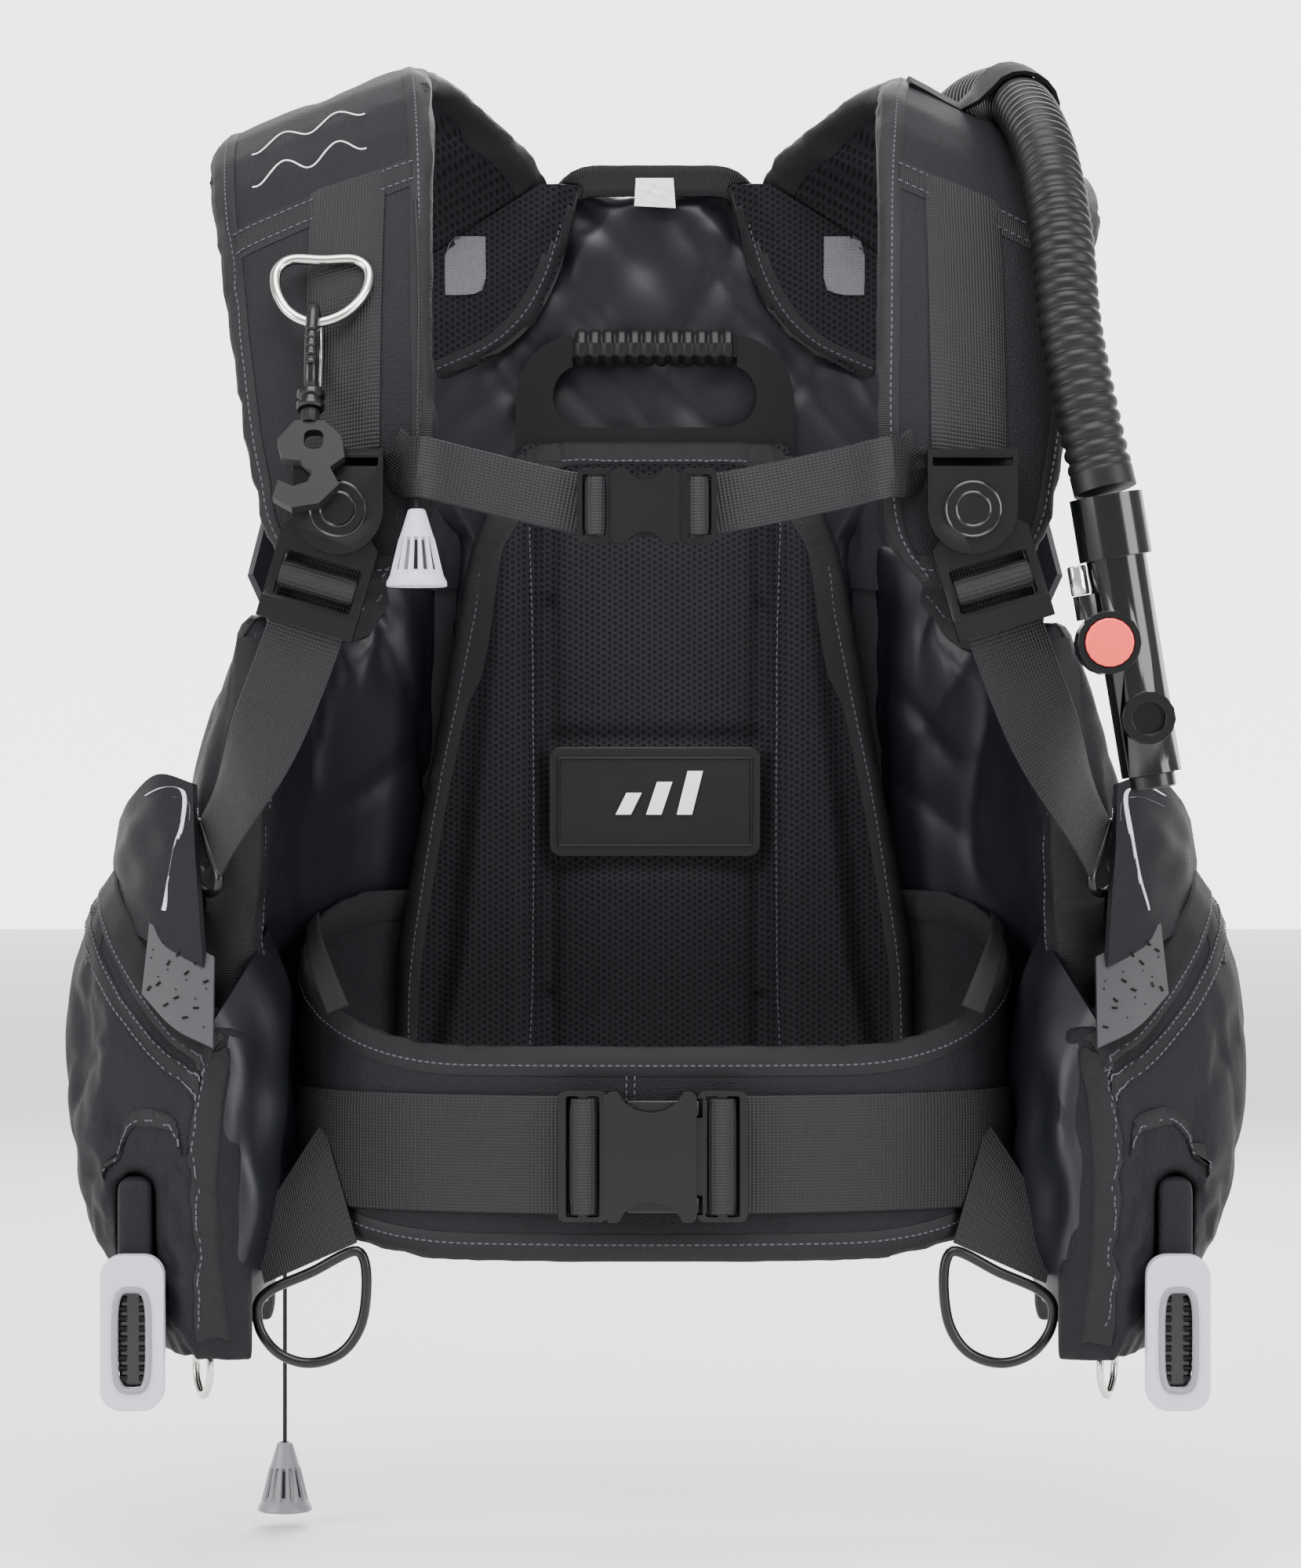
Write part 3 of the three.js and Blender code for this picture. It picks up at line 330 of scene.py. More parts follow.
def tube_mesh(name, rings, closed=False):
    """A skin over rings[i, j] (mm): face i, j joins rings i and i + 1. Its UV is metres along and round the skin."""
    rings = np.asarray(rings, float)
    n, k = rings.shape[:2]
    i, j = np.meshgrid(np.arange(n if closed else n - 1), np.arange(k), indexing="ij")
    i, j = i.ravel(), j.ravel()
    i2, j2 = (i + 1) % n, (j + 1) % k
    quads = np.stack([i * k + j, i * k + j2, i2 * k + j2, i2 * k + j], axis=1).tolist()
    if not closed:
        quads += [list(range(k)), [(n - 1) * k + q for q in range(k)]]
    mesh = mesh_from(name, rings.reshape(-1, 3), quads)
    along = np.r_[0, np.cumsum(np.linalg.norm(np.diff(rings.mean(1), axis=0), axis=1))] * MM
    step = np.linalg.norm(np.diff(rings, axis=1, append=rings[:, :1]), axis=2).mean(0)
    round_ = np.r_[0, np.cumsum(step)[:-1]] * MM
    corner = np.empty(len(mesh.loops), int)
    mesh.loops.foreach_get("vertex_index", corner)
    layer = mesh.uv_layers.new(name="tape")
    layer.data.foreach_set("uv", np.stack([along[corner // k], round_[corner % k]], axis=1).ravel())
    return mesh


def spline(points, at):
    """A smooth line through the points (mm), sampled at shares 0 to 1 counted evenly between points.
    Hermite pieces (2x^3-3x^2+1)p0 + (x^3-2x^2+x)hm0 + (3x^2-2x^3)p1 + (x^3-x^2)hm1, knots at root chords h."""
    p = np.asarray(points, float)
    t = np.r_[0, np.cumsum(np.sqrt(np.linalg.norm(np.diff(p, axis=0), axis=1)))]
    slope = np.gradient(p, t, axis=0)
    s = np.clip(np.asarray(at, float), 0, 1) * (len(p) - 1)
    i = np.clip(s.astype(int), 0, len(p) - 2)
    x = (s - i)[:, None]
    h = (t[i + 1] - t[i])[:, None]
    return ((2 * x**3 - 3 * x**2 + 1) * p[i] + (x**3 - 2 * x**2 + x) * h * slope[i]
            + (3 * x**2 - 2 * x**3) * p[i + 1] + (x**3 - x**2) * h * slope[i + 1])


def even(points, step):
    """The same smooth line as points `step` mm apart."""
    fine = spline(points, np.linspace(0, 1, 40 * len(points)))
    far = np.r_[0, np.cumsum(np.linalg.norm(np.diff(fine, axis=0), axis=1))]
    s = np.linspace(0, far[-1], max(4, int(far[-1] / step) + 1))
    return np.stack([np.interp(s, far, fine[:, c]) for c in range(3)], axis=1)


def unit(v):
    """The vectors along the last axis of v, scaled to length 1."""
    return v / (np.linalg.norm(v, axis=-1, keepdims=True) + 1e-9)


def points_of(mesh):
    """A mesh's points, in metres, one in each row."""
    at = np.empty(len(mesh.vertices) * 3)
    mesh.vertices.foreach_get("co", at)
    return at.reshape(-1, 3)


def smooth(t):
    """0 below t = 0, 1 above t = 1, and 3t^2 - 2t^3 between."""
    t = np.clip(t, 0, 1)
    return t * t * (3 - 2 * t)


SWELL_FRAMES = 20


def stuffed(node, voxel, swell, cap, pinned=None):
    """The CAD solid as sewn cloth over its filling: remeshed at `voxel` mm and let out by a cloth simulation with
    pressure `swell`. No point moves over `cap` mm, and those where pinned(points in mm) is true stay put."""
    plain = bpy.data.objects.new(node + "_plain", cad_copy(node))
    bpy.context.collection.objects.link(plain)
    remesh = plain.modifiers.new("even faces", "REMESH")
    remesh.mode = "VOXEL"
    remesh.voxel_size = voxel * MM
    relax = plain.modifiers.new("relax", "SMOOTH")
    relax.iterations = 3
    graph = bpy.context.evaluated_depsgraph_get()
    mesh = bpy.data.meshes.new_from_object(plain.evaluated_get(graph))
    mesh.materials.clear()
    bpy.data.objects.remove(plain)
    start = points_of(mesh)
    if swell:
        cloth_obj = bpy.data.objects.new(node + "_cloth", mesh)
        bpy.context.collection.objects.link(cloth_obj)
        group = cloth_obj.vertex_groups.new(name="seams")
        if pinned is not None:
            group.add(np.nonzero(pinned(start / MM))[0].tolist(), 1.0, "REPLACE")
        cloth = cloth_obj.modifiers.new("cloth", "CLOTH").settings
        cloth.quality = 6
        cloth.mass = 0.2
        cloth.tension_stiffness = 20
        cloth.compression_stiffness = 20
        cloth.shear_stiffness = 8
        cloth.bending_stiffness = 0.3
        cloth.vertex_group_mass = "seams"
        cloth.shrink_min = -0.07
        cloth.use_pressure = True
        cloth.uniform_pressure_force = swell
        cloth.effector_weights.gravity = 0
        scene = bpy.context.scene
        for number in range(1, SWELL_FRAMES + 1):
            scene.frame_set(number)
        graph = bpy.context.evaluated_depsgraph_get()
        move = points_of(cloth_obj.evaluated_get(graph).data) - start
        scene.frame_set(1)
        size = np.linalg.norm(move, axis=1, keepdims=True) + 1e-9
        move *= cap * MM * np.tanh(size / (cap * MM)) / size
        mesh.vertices.foreach_set("co", (start + move).ravel())
        bpy.data.objects.remove(cloth_obj)
    return mesh


def shape(mesh, change):
    """Moves a mesh's points: change(points in mm) gives the new points in mm."""
    at = change(points_of(mesh) / MM) * MM
    mesh.vertices.foreach_set("co", at.ravel())
    mesh.update()


def creased(mesh, high, across, along, tilt, mask):
    """Pulls in fine folds: each point sinks high (1 - 1.6 |n|)^5 mm along its normal, where n is smooth noise
    stretched to `along` mm down the folds and `across` mm over them, turned by `tilt` degrees about Y. mask(points)
    is 0 to 1."""
    normal = np.empty(len(mesh.vertices) * 3)
    mesh.vertices.foreach_get("normal", normal)
    p = points_of(mesh) / MM
    a = math.radians(tilt)
    x, z = p[:, 0] * math.cos(a) + p[:, 2] * math.sin(a), p[:, 2] * math.cos(a) - p[:, 0] * math.sin(a)
    q = np.stack([x / across, p[:, 1] / across, z / along], axis=1)
    n = np.array([noise.noise(Vector(v)) for v in q])
    drop = high * (1 - np.clip(1.6 * np.abs(n), 0, 1)) ** 5 * mask(p)
    at = (p - normal.reshape(-1, 3) * drop[:, None]) * MM
    mesh.vertices.foreach_set("co", at.ravel())
    mesh.update()


def finished(node, mesh, materials, body="vest", choose=None):
    """The sewn piece that stands for a CAD node; choose(centres mm, normals) picks each face's material."""
    obj = put(node + "_sewn", mesh, materials[0], body)
    if "sharp_edge" in mesh.attributes:
        mesh.attributes.remove(mesh.attributes["sharp_edge"])
    for other in materials[1:]:
        mesh.materials.append(other)
    if choose:
        centre = np.empty(len(mesh.polygons) * 3)
        normal = np.empty(len(mesh.polygons) * 3)
        mesh.polygons.foreach_get("center", centre)
        mesh.polygons.foreach_get("normal", normal)
        picked = choose(centre.reshape(-1, 3) / MM, normal.reshape(-1, 3))
        mesh.polygons.foreach_set("material_index", picked.astype(np.int32))
    finer = obj.modifiers.new("finer", "SUBSURF")
    finer.levels = finer.render_levels = 1
    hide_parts(node)
    return obj


def skin(obj):
    """A lookup of the nearest point on a piece's finished surface."""
    return BVHTree.FromObject(obj, bpy.context.evaluated_depsgraph_get())


def on_skin(host, points, out):
    """The points (mm) dropped on to the skin and lifted `out` mm off it."""
    flat = np.asarray(points, float).reshape(-1, 3)
    lift = np.broadcast_to(np.asarray(out, float), np.asarray(points).shape[:-1]).ravel()
    made = np.empty_like(flat)
    for i, p in enumerate(flat):
        at, normal, _, _ = host.find_nearest(Vector(p * MM))
        made[i] = np.array(at) / MM + np.array(normal) * lift[i]
    return made.reshape(np.asarray(points).shape)


def laid(name, host, rails, thick, material=binding, body="vest", across=4):
    """Tape or cloth sewn flat on a skin. Its section runs through the rails (lists of as many points, in mm)."""
    rails = np.asarray(rails, float)
    share = np.linspace(0, 1, across * (len(rails) - 1) + 1)
    place = share * (len(rails) - 1)
    i = np.clip(place.astype(int), 0, len(rails) - 2)
    x = (place - i)[:, None, None]
    grid = ((1 - x) * rails[i] + x * rails[i + 1]).transpose(1, 0, 2)
    edge = np.minimum(share, 1 - share) * (len(share) - 1)
    lift = thick * np.where(edge < 0.5, 0.35, 1.0)
    top = on_skin(host, grid, np.broadcast_to(lift, grid.shape[:2]))
    low = on_skin(host, grid, -0.8)
    mesh = tube_mesh(name, np.concatenate([top, low[:, ::-1]], axis=1))
    return put(name, mesh, material, body)


def stitches(name, host, path, out, pitch=3.2, long=2.2):
    """A row of lockstitches in polyester thread along a path on a skin: each is a flattened five-sided spindle."""
    at = on_skin(host, even(path, pitch), out)
    along = unit(np.gradient(at, axis=0))
    lift = unit(on_skin(host, at, out + 1) - at)
    aside = np.cross(along, lift)
    section = [(0.38 * math.cos(a), 0.3 * math.sin(a)) for a in np.arange(5) * 2 * math.pi / 5]
    points, quads = [], []
    for s, h in ((-0.5, 0.35), (-0.3, 1), (0.3, 1), (0.5, 0.35)):
        points.append(np.stack([at + along * s * long + aside * a * h + lift * b * h for a, b in section], axis=1))
    grid = np.stack(points, axis=1)
    for n in range(len(at)):
        base = n * 20
        for r in range(3):
            low, high = base + r * 5, base + r * 5 + 5
            quads += [[low + k, low + (k + 1) % 5, high + (k + 1) % 5, high + k] for k in range(5)]
        quads += [[base + k for k in range(5)], [base + 15 + k for k in range(5)]]
    return put(name, mesh_from(name, grid.reshape(-1, 3), quads), thread)


def bound_edge(name, host, front, rim, back, thick=1.1):
    """Binding tape folded over an edge, with a row of stitches in front: its rails are lists of points in mm."""
    count = max(8, int(np.linalg.norm(np.diff(front, axis=0), axis=1).sum() / 5))
    share = np.linspace(0, 1, count)
    rails = [spline(r, share) for r in (front, rim, back)]
    laid(name, host, rails, thick, across=5)
    row = 0.72 * rails[0] + 0.28 * rails[1]
    stitches(name + "_stitches", host, row[1:-1], thick)


pad_mesh = stuffed("back_pad", 3.2, 0, 0)


def quilt(p):
    """Channels: y + 6 e^-((|x| - 49.5) / 4)^2 for the upright seams, and 4 e^-((z - z0) / 4)^2 beside the patch."""
    front = smooth((-20 - p[:, 1]) / 8)
    x = np.abs(p[:, 0])
    half = np.interp(p[:, 2], [-152, -80, 110, 150], [118, 104, 84, 60])
    side = smooth((x - 52) / 12) * smooth((half - 8 - x) / 10)
    groove = 6.5 * np.exp(-(((x - 49.5) / 4) ** 2))
    for z in (-37, 21, 141):
        groove += 4 * np.exp(-(((p[:, 2] - z) / 4) ** 2)) * (x < 49.5)
    made = p.copy()
    made[:, 1] += front * (groove - 7 * side) + front * 3 * smooth((x - 20) / 26) * (x < 49.5)
    return made


shape(pad_mesh, quilt)
pad = finished("back_pad", pad_mesh, [spacer], "vest")
pad_skin = skin(pad)
outline = [(-52, 150), (-62, 146), (-74, 126), (-84, 108), (-88, 80), (-96, 40), (-104, 0), (-112, -50), (-117, -90),
           (-118, -146)]
for side, sign in (("right", 1), ("left", -1)):
    line = np.array([(sign * x, -40, z) for x, z in outline])
    inward = np.array([(sign * 9.0, 0, -2.0)])
    bound_edge("pad_%s_binding" % side, pad_skin, line + inward, line - inward * 0.7 + (0, 12, 0),
               line - inward * 0.5 + (0, 26, 0))
top = np.array([(x, -40, z) for x, z in ((-60, 148), (-40, 154), (0, 155), (40, 154), (60, 148))])
bound_edge("pad_top_binding", pad_skin, top - (0, 0, 9), top + (0, 10, 6), top + (0, 26, 0))
for x in (-49.5, 49.5):
    stitches("pad_channel_%s_stitches" % ("left" if x > 0 else "right"), pad_skin,
             [(x, -40, 140), (x, -40, 0), (x, -40, -148)], 0.2)

# ---- inner bladder panel -------------------------------------------------------------------------
# The back of the air cell: smooth coated nylon, welded round its edge and gathered round the carrying handle. Its
# neckline is bound in tape, in the section on the yoke.
back_mesh = stuffed("bladder_back", 4.5, 5.0, 5.0,
                    lambda p: (np.abs(p[:, 0]) < 64) & (np.abs(p[:, 2]) < 81) | (p[:, 2] < -120))
for tilt in (-38, 38):
    creased(back_mesh, 3.2, 34, 240, tilt, lambda p: smooth((p[:, 2] - 120) / 60) * smooth((282 - p[:, 2]) / 10))
back = finished("bladder_back", back_mesh, [nylon])

# ---- shoulder straps -----------------------------------------------------------------------------
# Padded straps: foam between Cordura outside and a spacer mesh lining, all edges bound and stitched. Each is sewn
# into the back's top edge and ends just below the swivel buckle's frame.
STRAP_INNER = [(46.7, 5, 268.2), (58, -16, 290), (78, -58, 305), (98, -108, 316), (95, -155, 296), (92, -195, 258),
               (91, -226, 196), (91, -238, 140), (96, -239, 103), (113, -238, 81)]
STRAP_OUTER = [(153.7, 5, 178.1), (172, -14, 222), (188, -50, 264), (192, -100, 280), (191, -150, 262),
               (187, -188, 228), (178, -214, 176), (170, -225, 130), (161, -230, 100), (142, -234, 80)]


def strap_rail(side, share, u):
    """A line along a strap's middle surface at a share of its width; the hose presses the left one down 16 mm."""
    press = 16 if side > 0 else 0
    a, b = np.array(STRAP_INNER, float), np.array(STRAP_OUTER, float)
    a[2, 2] -= 0.2 * press
    a[3, 2] -= 0.3 * press
    b[2:5, 2] -= press
    b[5, 2] -= 0.5 * press
    line = (1 - share) * spline(a, u) + share * spline(b, u)
    return line * (side, 1, 1)


def strap_line(side, share, u, out):
    """The same line lifted `out` mm from the strap's middle, towards its outer face where `out` is positive."""
    at = strap_rail(side, share, u)
    along = strap_rail(side, share, np.clip(u + 0.01, 0, 1)) - strap_rail(side, share, np.clip(u - 0.01, 0, 1))
    across = strap_rail(side, share + 0.05, u) - strap_rail(side, share - 0.05, u)
    normal = np.cross(along, across) * side
    return at + out * unit(normal)


for side, word in SIDES:
    node = word + "_shoulder_strap"
    u = np.linspace(0.02, 0.99, 40)
    mesh = stuffed(node, 3.6, 3.0, 2.5)
    samples = np.concatenate([strap_line(side, s, u, 0) for s in np.linspace(0, 1, 9)])
    outward = np.concatenate([strap_line(side, s, u, 1) for s in np.linspace(0, 1, 9)]) - samples

    def face_side(centre, normal, samples=samples, outward=outward):
        near = np.concatenate([((part[:, None] - samples[None]) ** 2).sum(2).argmin(1)
                               for part in np.array_split(centre, 30)])
        return (normal * outward[near]).sum(1) < 0

    strap = finished(node, mesh, [cordura, spacer], choose=face_side)
    host = skin(strap)
    u = np.linspace(0.0, 0.985, 60)
    for edge, inner, outer in (("inner", 0.11, -0.03), ("outer", 0.89, 1.03)):
        bound_edge("%s_strap_%s_binding" % (word, edge), host, strap_line(side, inner, u, 9),
                   strap_line(side, outer, u, 0), strap_line(side, inner, u, -9))
    tip = np.linspace(0, 1, 14)
    ends = [np.array([strap_line(side, s, np.array([v]), h)[0] for s in tip])
            for v, h in ((0.93, 9), (1.0, 4), (0.94, -9))]
    bound_edge(word + "_strap_tip_binding", host, ends[0], ends[1] + (0, 0, -8), ends[2])
    seam = [np.array([strap_line(side, s, np.array([v + 0.02 * s]), 9)[0] for s in np.linspace(0.1, 0.9, 12)])
            for v in (0.535, 0.565)]
    laid(word + "_strap_cross_tape", host, seam, 1.0)
    for k, row in enumerate(seam):
        stitches("%s_strap_cross_stitches_%d" % (word, k), host, 0.8 * row + 0.2 * seam[1 - k], 1.0)

# ---- air lobes -----------------------------------------------------------------------------------
# The side halves of the air cell: coated nylon inside, Cordura outside, welded round the edge and bound with tape.
# Each is sewn to the back panel and wraps the wearer's side.


def trunk(angle, z, out):
    """A point on the wearer's rounded-oblong trunk, in mm: x = w sgn(s)|s|^0.8 and y = TRUNK_Y + d sgn(c)|c|^0.8,
    where s and c are the angle's sine and cosine."""
    a = np.radians(angle)
    wide = 165 - 13 * smooth((z + 100) / 160) + out
    x = wide * np.sign(np.sin(a)) * np.abs(np.sin(a)) ** 0.8
    y = TRUNK_Y + (106 + out) * np.sign(np.cos(a)) * np.abs(np.cos(a)) ** 0.8
    return np.stack(np.broadcast_arrays(x, y, z), axis=-1)


def lobe(u, v, share, extra=0.0):
    """A point on the wearer's left lobe: u back to front, v bottom to top, share of the way out through it."""
    u, v = np.broadcast_arrays(np.asarray(u, float), np.asarray(v, float))
    guess = 30 + 78 * u
    high = 74 + 37 * smooth((78 - guess) / 44)
    low = -190 - 42 * smooth((guess - 60) / 45)
    z = low + (high - low) * v
    front = 96 + 17 * smooth((80 - z) / 130)
    round_ = np.sqrt(np.clip(np.sin(np.pi * u), 0, 1)) * np.sqrt(np.clip(np.sin(np.pi * v), 0, 1))
    thick = 12 + 34 * round_ * smooth((u + 0.08) / 0.5)
    return trunk(30 + (front - 30) * u, z, 1 + 13 * smooth((u - 0.35) / 0.6) + share * thick + extra)


for side, word in SIDES:
    node = word + "_bladder_lobe"
    mesh = stuffed(node, 4.5, 5.0, 5.5)

    def outside(centre, normal, side=side):
        away = centre * (side, 1, 1) - (0, TRUNK_Y, 0)
        away[:, 2] = 0
        return (normal * (side, 1, 1) * away).sum(1) > 0

    for tilt, high in ((-28 * side, 2.4), (62 * side, 1.8)):
        creased(mesh, high, 44, 300, tilt, lambda p: smooth((p[:, 2] + 225) / 25) * smooth((96 - p[:, 2]) / 20))
    wing = finished(node, mesh, [nylon, cordura], choose=outside)
    host = skin(wing)
    v = np.linspace(0.03, 0.97, 40)
    flip = np.array((side, 1, 1))
    bound_edge(word + "_lobe_front_binding", host, lobe(0.955, v, 0, -6) * flip, lobe(1.02, v, 0.5, 0) * flip,
               lobe(0.955, v, 1, 6) * flip)
    u = np.linspace(0.3, 0.99, 40)
    bound_edge(word + "_lobe_top_binding", host, lobe(u, 0.965, 0, -6) * flip, lobe(u, 1.02, 0.5, 0) * flip,
               lobe(u, 0.965, 1, 6) * flip)
    bound_edge(word + "_lobe_low_binding", host, lobe(u, 0.035, 0, -6) * flip, lobe(u, -0.02, 0.5, 0) * flip,
               lobe(u, 0.035, 1, 6) * flip)

# ---- side pockets and weight pouches -------------------------------------------------------------
# Cordura cargo pockets sewn on the lobes, each with a slot in front for a weight pouch. The pouch is a Cordura sleeve
# round the weights, and pulls out by its moulded handle.
for side, word in SIDES:
    mesh = stuffed(word + "_pocket", 4.0, 4.0, 4.5,
                   lambda p: (np.abs(np.abs(p[:, 0]) - 222) < 14) & (p[:, 1] < -110) & (p[:, 2] < -160))
    creased(mesh, 2.0, 34, 200, 40 * side, lambda p: smooth((-90 - p[:, 2]) / 30) * smooth((np.abs(p[:, 0]) - 225) / 8))
    pocket = finished(word + "_pocket", mesh, [cordura])
    mesh = stuffed(word + "_weight_pouch", 2.5, 0, 0)
    finished(word + "_weight_pouch", mesh, [cordura], word + "_weight_pouch")

# ---- cummerbund ----------------------------------------------------------------------------------
# A soft elastic waist belt whose touch-fastener ends overlap in front. Both edges are bound and stitched, and its
# rear ends are sewn in beside the back pad.
mesh = stuffed("cummerbund", 2.8, 0, 0)
belt = finished("cummerbund", mesh, [cordura])
belt_skin = skin(belt)


def belt_line(angle, up, out):
    """A line round the cummerbund at a share `up` of its height."""
    bend = np.radians(angle)
    forward = smooth((180 - np.abs(180 - angle) - 45) / 110)
    top_z = -48 + (-112 + 48) * forward
    low_z = top_z - 91 - 20 * (1 - forward)
    x = (155 + out) * np.sign(np.sin(bend)) * np.abs(np.sin(bend)) ** 0.8
    y = TRUNK_Y + (97 + out) * np.sign(np.cos(bend)) * np.abs(np.cos(bend)) ** 0.8
    return np.stack([x, y, low_z + (top_z - low_z) * up], axis=1)


angle = np.linspace(36, 324, 110)
bound_edge("belt_top_binding", belt_skin, belt_line(angle, 0.87, 6), belt_line(angle, 1.04, 0),
           belt_line(angle, 0.87, -6))
bound_edge("belt_low_binding", belt_skin, belt_line(angle, 0.13, 6), belt_line(angle, -0.04, 0),
           belt_line(angle, 0.13, -6))

# ---- webbing -------------------------------------------------------------------------------------
# Woven polypropylene tape 2 mm thick: 32 mm wide at the shoulders, 25 mm at the chest and 50 mm at the waist. It is
# sewn down at one end and laced through its buckle at the other.
def tape(name, centre, side, width, thick, material, body, step=4):
    """A flat woven tape along a smooth centre line (mm): the section runs along side(share), square to the line."""
    line = even(centre, step)
    share = np.linspace(0, 1, len(line))
    along = unit(np.gradient(line, axis=0))
    aside = side(share) if callable(side) else np.tile(np.array(side, float), (len(line), 1))
    aside = unit(aside - (aside * along).sum(1, keepdims=True) * along)
    up = np.cross(along, aside)
    h = thick / 2
    across = np.linspace(-1, 1, 9)
    top = [(a * (width / 2 - 0.3), h * (1.0 if abs(a) < 0.9 else 0.5)) for a in across]
    section = top + [(width / 2, 0)] + [(a, -b) for a, b in top[::-1]] + [(-width / 2, 0)]
    rings = np.stack([line + aside * a + up * b for a, b in section], axis=1)
    return put(name, tube_mesh(name, rings), material, body)


for side, word in SIDES:
    host = skin(bpy.data.objects[word + "_shoulder_strap_sewn"])
    u = np.linspace(0.545, 0.775, 30)
    rails = [strap_line(side, s, u, 9) for s in (0, 1)]
    picked = [np.array([a + (b - a) * (abs(x) - abs(a[0])) / (abs(b[0]) - abs(a[0])) for a, b in zip(*rails)])
              for x in (114.5, 146.5)]
    web = laid(word + "_shoulder_webbing", host, picked, 2.2, webbing, across=8)
    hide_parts(word + "_shoulder_web")
    # The lower webbing runs from the swivel buckle's ladder down to the plastic ring on the lobe.
    turn = BUCKLE_LEAN
    down = [(SWIVEL_X + r * math.sin(turn), -243.1, SWIVEL_Z - r * math.cos(turn)) for r in (19, 37, 55)]
    points = np.array(down + [(161, -226, 25), (178, -198, -7), LOBE_RING]) * (side, 1, 1)
    points[2, 1] += 1.2
    high = np.array((math.cos(turn) * side, 0, math.sin(turn)))
    low = np.array(LOBE_RING_ACROSS) * (side, 1, 1)
    web = tape(word + "_lower_webbing", points, lambda s: high + (low - high) * smooth((s - 0.3) / 0.65)[:, None],
               32, 2, webbing, None)
    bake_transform(web)
    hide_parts(word + "_lower_web")

for side, word in SIDES[::-1]:
    inner = -3.5 + side * 23.2
    host = skin(bpy.data.objects[word + "_shoulder_strap_sewn"])
    sewn = on_skin(host, np.array([strap_line(side, 0.22, np.array([0.785]), 9)[0]]), 1.4)[0]
    points = [sewn, (side * 103, -250, 131), (side * 96, -262.3, 130), (side * 78, -256, 126),
              (inner * 0.6 + side * 78 * 0.4, -247.5, 119), (inner + side * 3, -245.8, 115.5),
              (inner - side * 3, -245.8, 114.5)]
    web = tape(word + "_chest_webbing", points, (0, 0, 1), 25, 2, webbing, "vest" if side < 0 else None)
    if side > 0:
        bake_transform(web)
    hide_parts(word + "_chest_web")


for side, word in SIDES[::-1]:
    inner = -1 + side * 32
    points = [(inner - side * 4, -199.2, WAIST_Z), (inner + side * 8, -199.2, WAIST_Z)]
    wrapped = belt_line(180 - side * (180 - np.array([152, 144, 136, 128, 120, 112, 104, 97])), 0.5, 4.6)
    points += [(x, y, WAIST_Z) for x, y, _ in wrapped]
    body = "vest" if side < 0 else None
    web = tape(word + "_waist_webbing", points, (0, 0, 1), 50, 2, webbing, body)
    # The free end is folded over on a slanting crease and hangs down to the pull ring.
    near = np.array([(144, -150.3, -146), (140, -158.5, -158), (135, -163.5, -174), (128, -170, -197)]) * (side, 1, 1)
    far = np.array([(172, -160, -190), (171, -161.5, -198), (170, -163, -207), (168, -164.5, -215)]) * (side, 1, 1)
    share = np.linspace(0, 1, 14)
    a, b = spline(near, share), spline(far, share)
    out = np.array((0.13 * side, -0.99, 0.05))
    grid = np.stack([a + (b - a) * s for s in np.linspace(0, 1, 9)], axis=1)
    rings = np.concatenate([grid + out * 1.1, (grid - out * 1.0)[:, ::-1]], axis=1)
    tail = put(word + "_waist_tail", tube_mesh(word + "_waist_tail", rings), webbing, body)
    if side > 0:
        for half in (web, tail):
            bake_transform(half)
    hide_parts(word + "_waist_web")

# ---- rings, snap hook and hose clip --------------------------------------------------------------
# Bent wire and moulded rings. The chest and pocket rings are polished stainless steel, the others black acetal.
# Each hangs in a sewn webbing loop; the snap hook hangs on the chest ring, and the clip is pressed on the hose.


def wire(name, points, radius, material, body, closed=True, sides=12, step=1.6, flat=1.0):
    """A bar of round section swept along a smooth line; `flat` narrows the section across the ring's plane."""
    p = np.array(points, float)
    loop = np.concatenate([p[-2:], p, p[:3]]) if closed else p
    line = even(loop, step / 3)
    if closed:
        first = ((line - p[0]) ** 2).sum(1)
        half = len(line) // 2
        line = line[first[:half].argmin():half + first[half:].argmin()]
        line = line[::3]
    along = unit(np.roll(line, -1, 0) - np.roll(line, 1, 0) if closed else np.gradient(line, axis=0))
    middle = p.mean(0)
    flat_way = np.cross(p[len(p) // 3] - middle, p[2 * len(p) // 3] - middle)
    if np.linalg.norm(flat_way) < 1e-6:
        flat_way = np.cross(p[-1] - p[0], (0.3, 0.9, 0.2))
    aside = unit(np.cross(along, unit(flat_way)))
    up = np.cross(along, aside)
    turn = np.arange(sides) * 2 * math.pi / sides
    rings = np.stack([line + radius * (math.cos(a) * aside + flat * math.sin(a) * up) for a in turn], axis=1)
    return put(name, tube_mesh(name, rings, closed), material, body)


